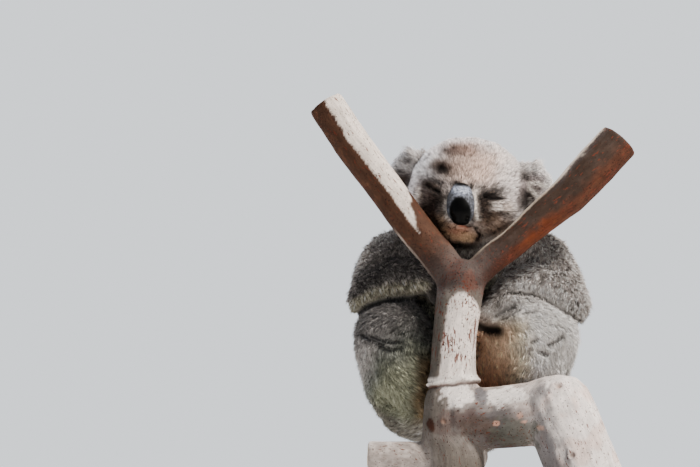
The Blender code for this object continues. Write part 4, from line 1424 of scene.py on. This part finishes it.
class OBJECT_OT_koala_stand(bpy.types.Operator):
    """The turned base and the two rods up to the perch"""

    bl_idname = "object.koala_stand"
    bl_label = "Stand"

    def execute(self, context):
        self.turn_base()
        steel = self.steel()
        for side in ("right", "left"):
            self.turn_rod(side, steel)
        return {"FINISHED"}

    def cylinder(self, name, node, corners):
        """An upright cylinder that fills a CAD node's box."""
        low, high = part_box(node)
        deselect_all()
        bpy.ops.mesh.primitive_cylinder_add(
            vertices=corners, radius=(high.x - low.x) / 2, depth=high.z - low.z,
            location=(low + high) / 2)
        made = bpy.context.active_object
        made.name = name
        bpy.ops.object.transform_apply(location=True, rotation=False, scale=False)
        return made

    def turn_base(self):
        """A round of stained hardwood with a soft edge and a shallow step."""
        base = self.cylinder("stand_base_turned", "stand_base", 128)
        bpy.ops.object.mode_set(mode="EDIT")
        bpy.ops.mesh.select_mode(type="FACE")
        bm = bmesh.from_edit_mesh(base.data)
        for face in bm.faces:
            face.select_set(face.normal.z > 0.9)
        bmesh.update_edit_mesh(base.data)
        bpy.ops.mesh.inset(thickness=9 * MM)
        bpy.ops.mesh.inset(thickness=1.5 * MM, depth=-1 * MM)
        bpy.ops.object.mode_set(mode="OBJECT")
        finish_with(base, "BEVEL", width=3 * MM, segments=4, limit_method="ANGLE",
                    angle_limit=math.radians(60))
        base.data.shade_smooth()
        base.data.materials.append(self.hardwood())
        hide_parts("stand_base")
        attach(base, "root")

    def turn_rod(self, side, steel):
        """A brushed steel rod, chamfered where it enters the base and the wood."""
        rod = self.cylinder(f"stand_rod_{side}_steel", "stand_rod_" + side, 48)
        finish_with(rod, "BEVEL", width=0.6 * MM, segments=2, limit_method="ANGLE",
                    angle_limit=math.radians(60))
        rod.data.shade_smooth()
        rod.data.materials.append(steel)
        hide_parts("stand_rod_" + side)
        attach(rod, "root")

    def hardwood(self):
        """Stained hardwood under satin varnish: straight grain along X."""
        made, tree, shader = new_material("varnished_hardwood")
        place = add_node(tree, "ShaderNodeTexCoord").outputs["Object"]
        # Grain lines are about 7 mm apart and 150 mm long.
        long = add_node(tree, "ShaderNodeMapping", {"Scale": (4, 90, 90)}, {"Vector": place})
        grain = add_node(tree, "ShaderNodeTexNoise", {
            "Scale": 1.6, "Detail": 6, "Roughness": 0.6}, {"Vector": long})
        tone = add_node(tree, "ShaderNodeValToRGB", links={"Fac": grain}, stops=[
            (0.3, "#2b1a10"), (0.55, "#4d3120"), (0.75, "#66452f")])
        raised = add_node(
            tree, "ShaderNodeBump", {"Strength": 0.15, "Distance": 0.3 * MM}, {"Height": grain})
        set_sockets(shader, {"Roughness": 0.38}, {"Base Color": tone, "Normal": raised})
        return made

    def steel(self):
        """Brushed stainless steel: fine scratches round the rod."""
        made, tree, shader = new_material("brushed_stainless_steel")
        place = add_node(tree, "ShaderNodeTexCoord").outputs["Object"]
        # Scratches are drawn 0.5 mm apart and 17 mm long, coarser than real ones, to show.
        fine = add_node(tree, "ShaderNodeMapping", {"Scale": (60, 60, 1800)}, {"Vector": place})
        lines = add_node(tree, "ShaderNodeTexNoise", {"Scale": 1, "Detail": 3}, {"Vector": fine})
        rough = add_node(tree, "ShaderNodeMapRange", {"To Min": 0.22, "To Max": 0.42}, {"Value": lines})
        set_sockets(shader, {"Base Color": (*linear("#b9babb"), 1), "Metallic": 1}, {
            "Roughness": rough})
        return made


# --- Stage ---

LIGHTS = [  # place, size in metres, power in watts, colour
    ((1.05, -1.15, 1.95), 0.45, 108, "#fff7ee"),
    ((-1.6, -1.4, 0.7), 1.6, 3, "#e4eeff"),
    ((-0.9, 1.2, 1.7), 0.8, 55, "#f6f8ff"),
    ((1.25, 0.6, 1.5), 0.6, 26, "#fff8f0"),
]
LIT_PLACE = (0, 0, 0.42)  # what every light faces
CAMERA_PLACE = (-0.144, -2.1464, 0.0718)
CAMERA_TURN = (math.radians(100), 0, 0)  # 10 degrees up from level


class OBJECT_OT_koala_stage(bpy.types.Operator):
    """The pale floor, the soft lights and the camera"""

    bl_idname = "object.koala_stage"
    bl_label = "Stage"

    def execute(self, context):
        deselect_all()
        bpy.ops.mesh.primitive_plane_add(size=12, location=(0, 0, -0.2 * MM))
        floor = context.active_object
        floor.name = "studio_floor"
        plain, _, shader = new_material("matt_studio_floor")
        set_sockets(shader, {"Base Color": (*linear("#e4e2de"), 1), "Roughness": 0.8})
        floor.data.materials.append(plain)
        context.scene.world = self.studio_air()
        for i, (place, size, power, colour) in enumerate(LIGHTS):
            lamp = bpy.data.lights.new(f"softbox_{i + 1}", "AREA")
            lamp.shape = "DISK"
            lamp.size = size
            lamp.energy = power
            lamp.color = linear(colour)
            box = new_object(lamp.name, lamp)
            box.location = place
            aim = Vector(LIT_PLACE) - box.location
            box.rotation_euler = aim.to_track_quat("-Z", "Y").to_euler()
        lens = bpy.data.cameras.new("camera")
        lens.lens = 85
        lens.sensor_width = 36
        eye = new_object("camera", lens)
        eye.location = CAMERA_PLACE
        eye.rotation_euler = CAMERA_TURN
        context.scene.camera = eye
        return {"FINISHED"}

    def studio_air(self):
        """A dim even fill, with a pale backdrop behind it."""
        world = bpy.data.worlds.new("pale_studio")
        world.use_nodes = True
        tree = world.node_tree
        fill = tree.nodes["Background"]
        set_sockets(fill, {"Color": (*linear("#dde6f2"), 1), "Strength": 0.34})
        backdrop = add_node(tree, "ShaderNodeBackground", {
            "Color": (*linear("#e6ebf0"), 1), "Strength": 1.5})
        seen = add_node(tree, "ShaderNodeLightPath")
        both = add_node(tree, "ShaderNodeMixShader", links={
            0: seen.outputs["Is Camera Ray"], 1: fill, 2: backdrop})
        set_sockets(tree.nodes["World Output"], links={"Surface": both})
        return world


class VIEW3D_PT_koala(bpy.types.Panel):
    """Lists the settings and the pieces"""

    bl_label = "Koala"
    bl_space_type = "VIEW_3D"
    bl_region_type = "UI"
    bl_category = "Koala"

    def draw(self, context):
        for group in (context.scene.koala_coat, context.scene.koala_perch):
            for name in group.bl_rna.properties.keys():
                if name not in ("rna_type", "name"):
                    self.layout.prop(group, name)
        for operator in OPERATORS:
            self.layout.operator(operator.bl_idname)


OPERATORS = (
    OBJECT_OT_koala_stage, OBJECT_OT_koala_skin, OBJECT_OT_koala_coat, OBJECT_OT_koala_nose,
    OBJECT_OT_koala_lids, OBJECT_OT_koala_claws, OBJECT_OT_koala_perch, OBJECT_OT_koala_stand,
)
CLASSES = (KoalaCoat, KoalaPerch, *OPERATORS, VIEW3D_PT_koala)


def register():
    for item in CLASSES:
        bpy.utils.register_class(item)
    bpy.types.Scene.koala_coat = PointerProperty(type=KoalaCoat)
    bpy.types.Scene.koala_perch = PointerProperty(type=KoalaPerch)


def unregister():
    del bpy.types.Scene.koala_perch
    del bpy.types.Scene.koala_coat
    for item in reversed(CLASSES):
        bpy.utils.unregister_class(item)


def main():
    register()
    bpy.ops.object.koala_stage()
    bpy.ops.object.koala_skin()
    bpy.ops.object.koala_coat()
    bpy.ops.object.koala_nose()
    bpy.ops.object.koala_lids()
    bpy.ops.object.koala_claws()
    bpy.ops.object.koala_perch()
    bpy.ops.object.koala_stand()


if __name__ == "__main__":
    main()
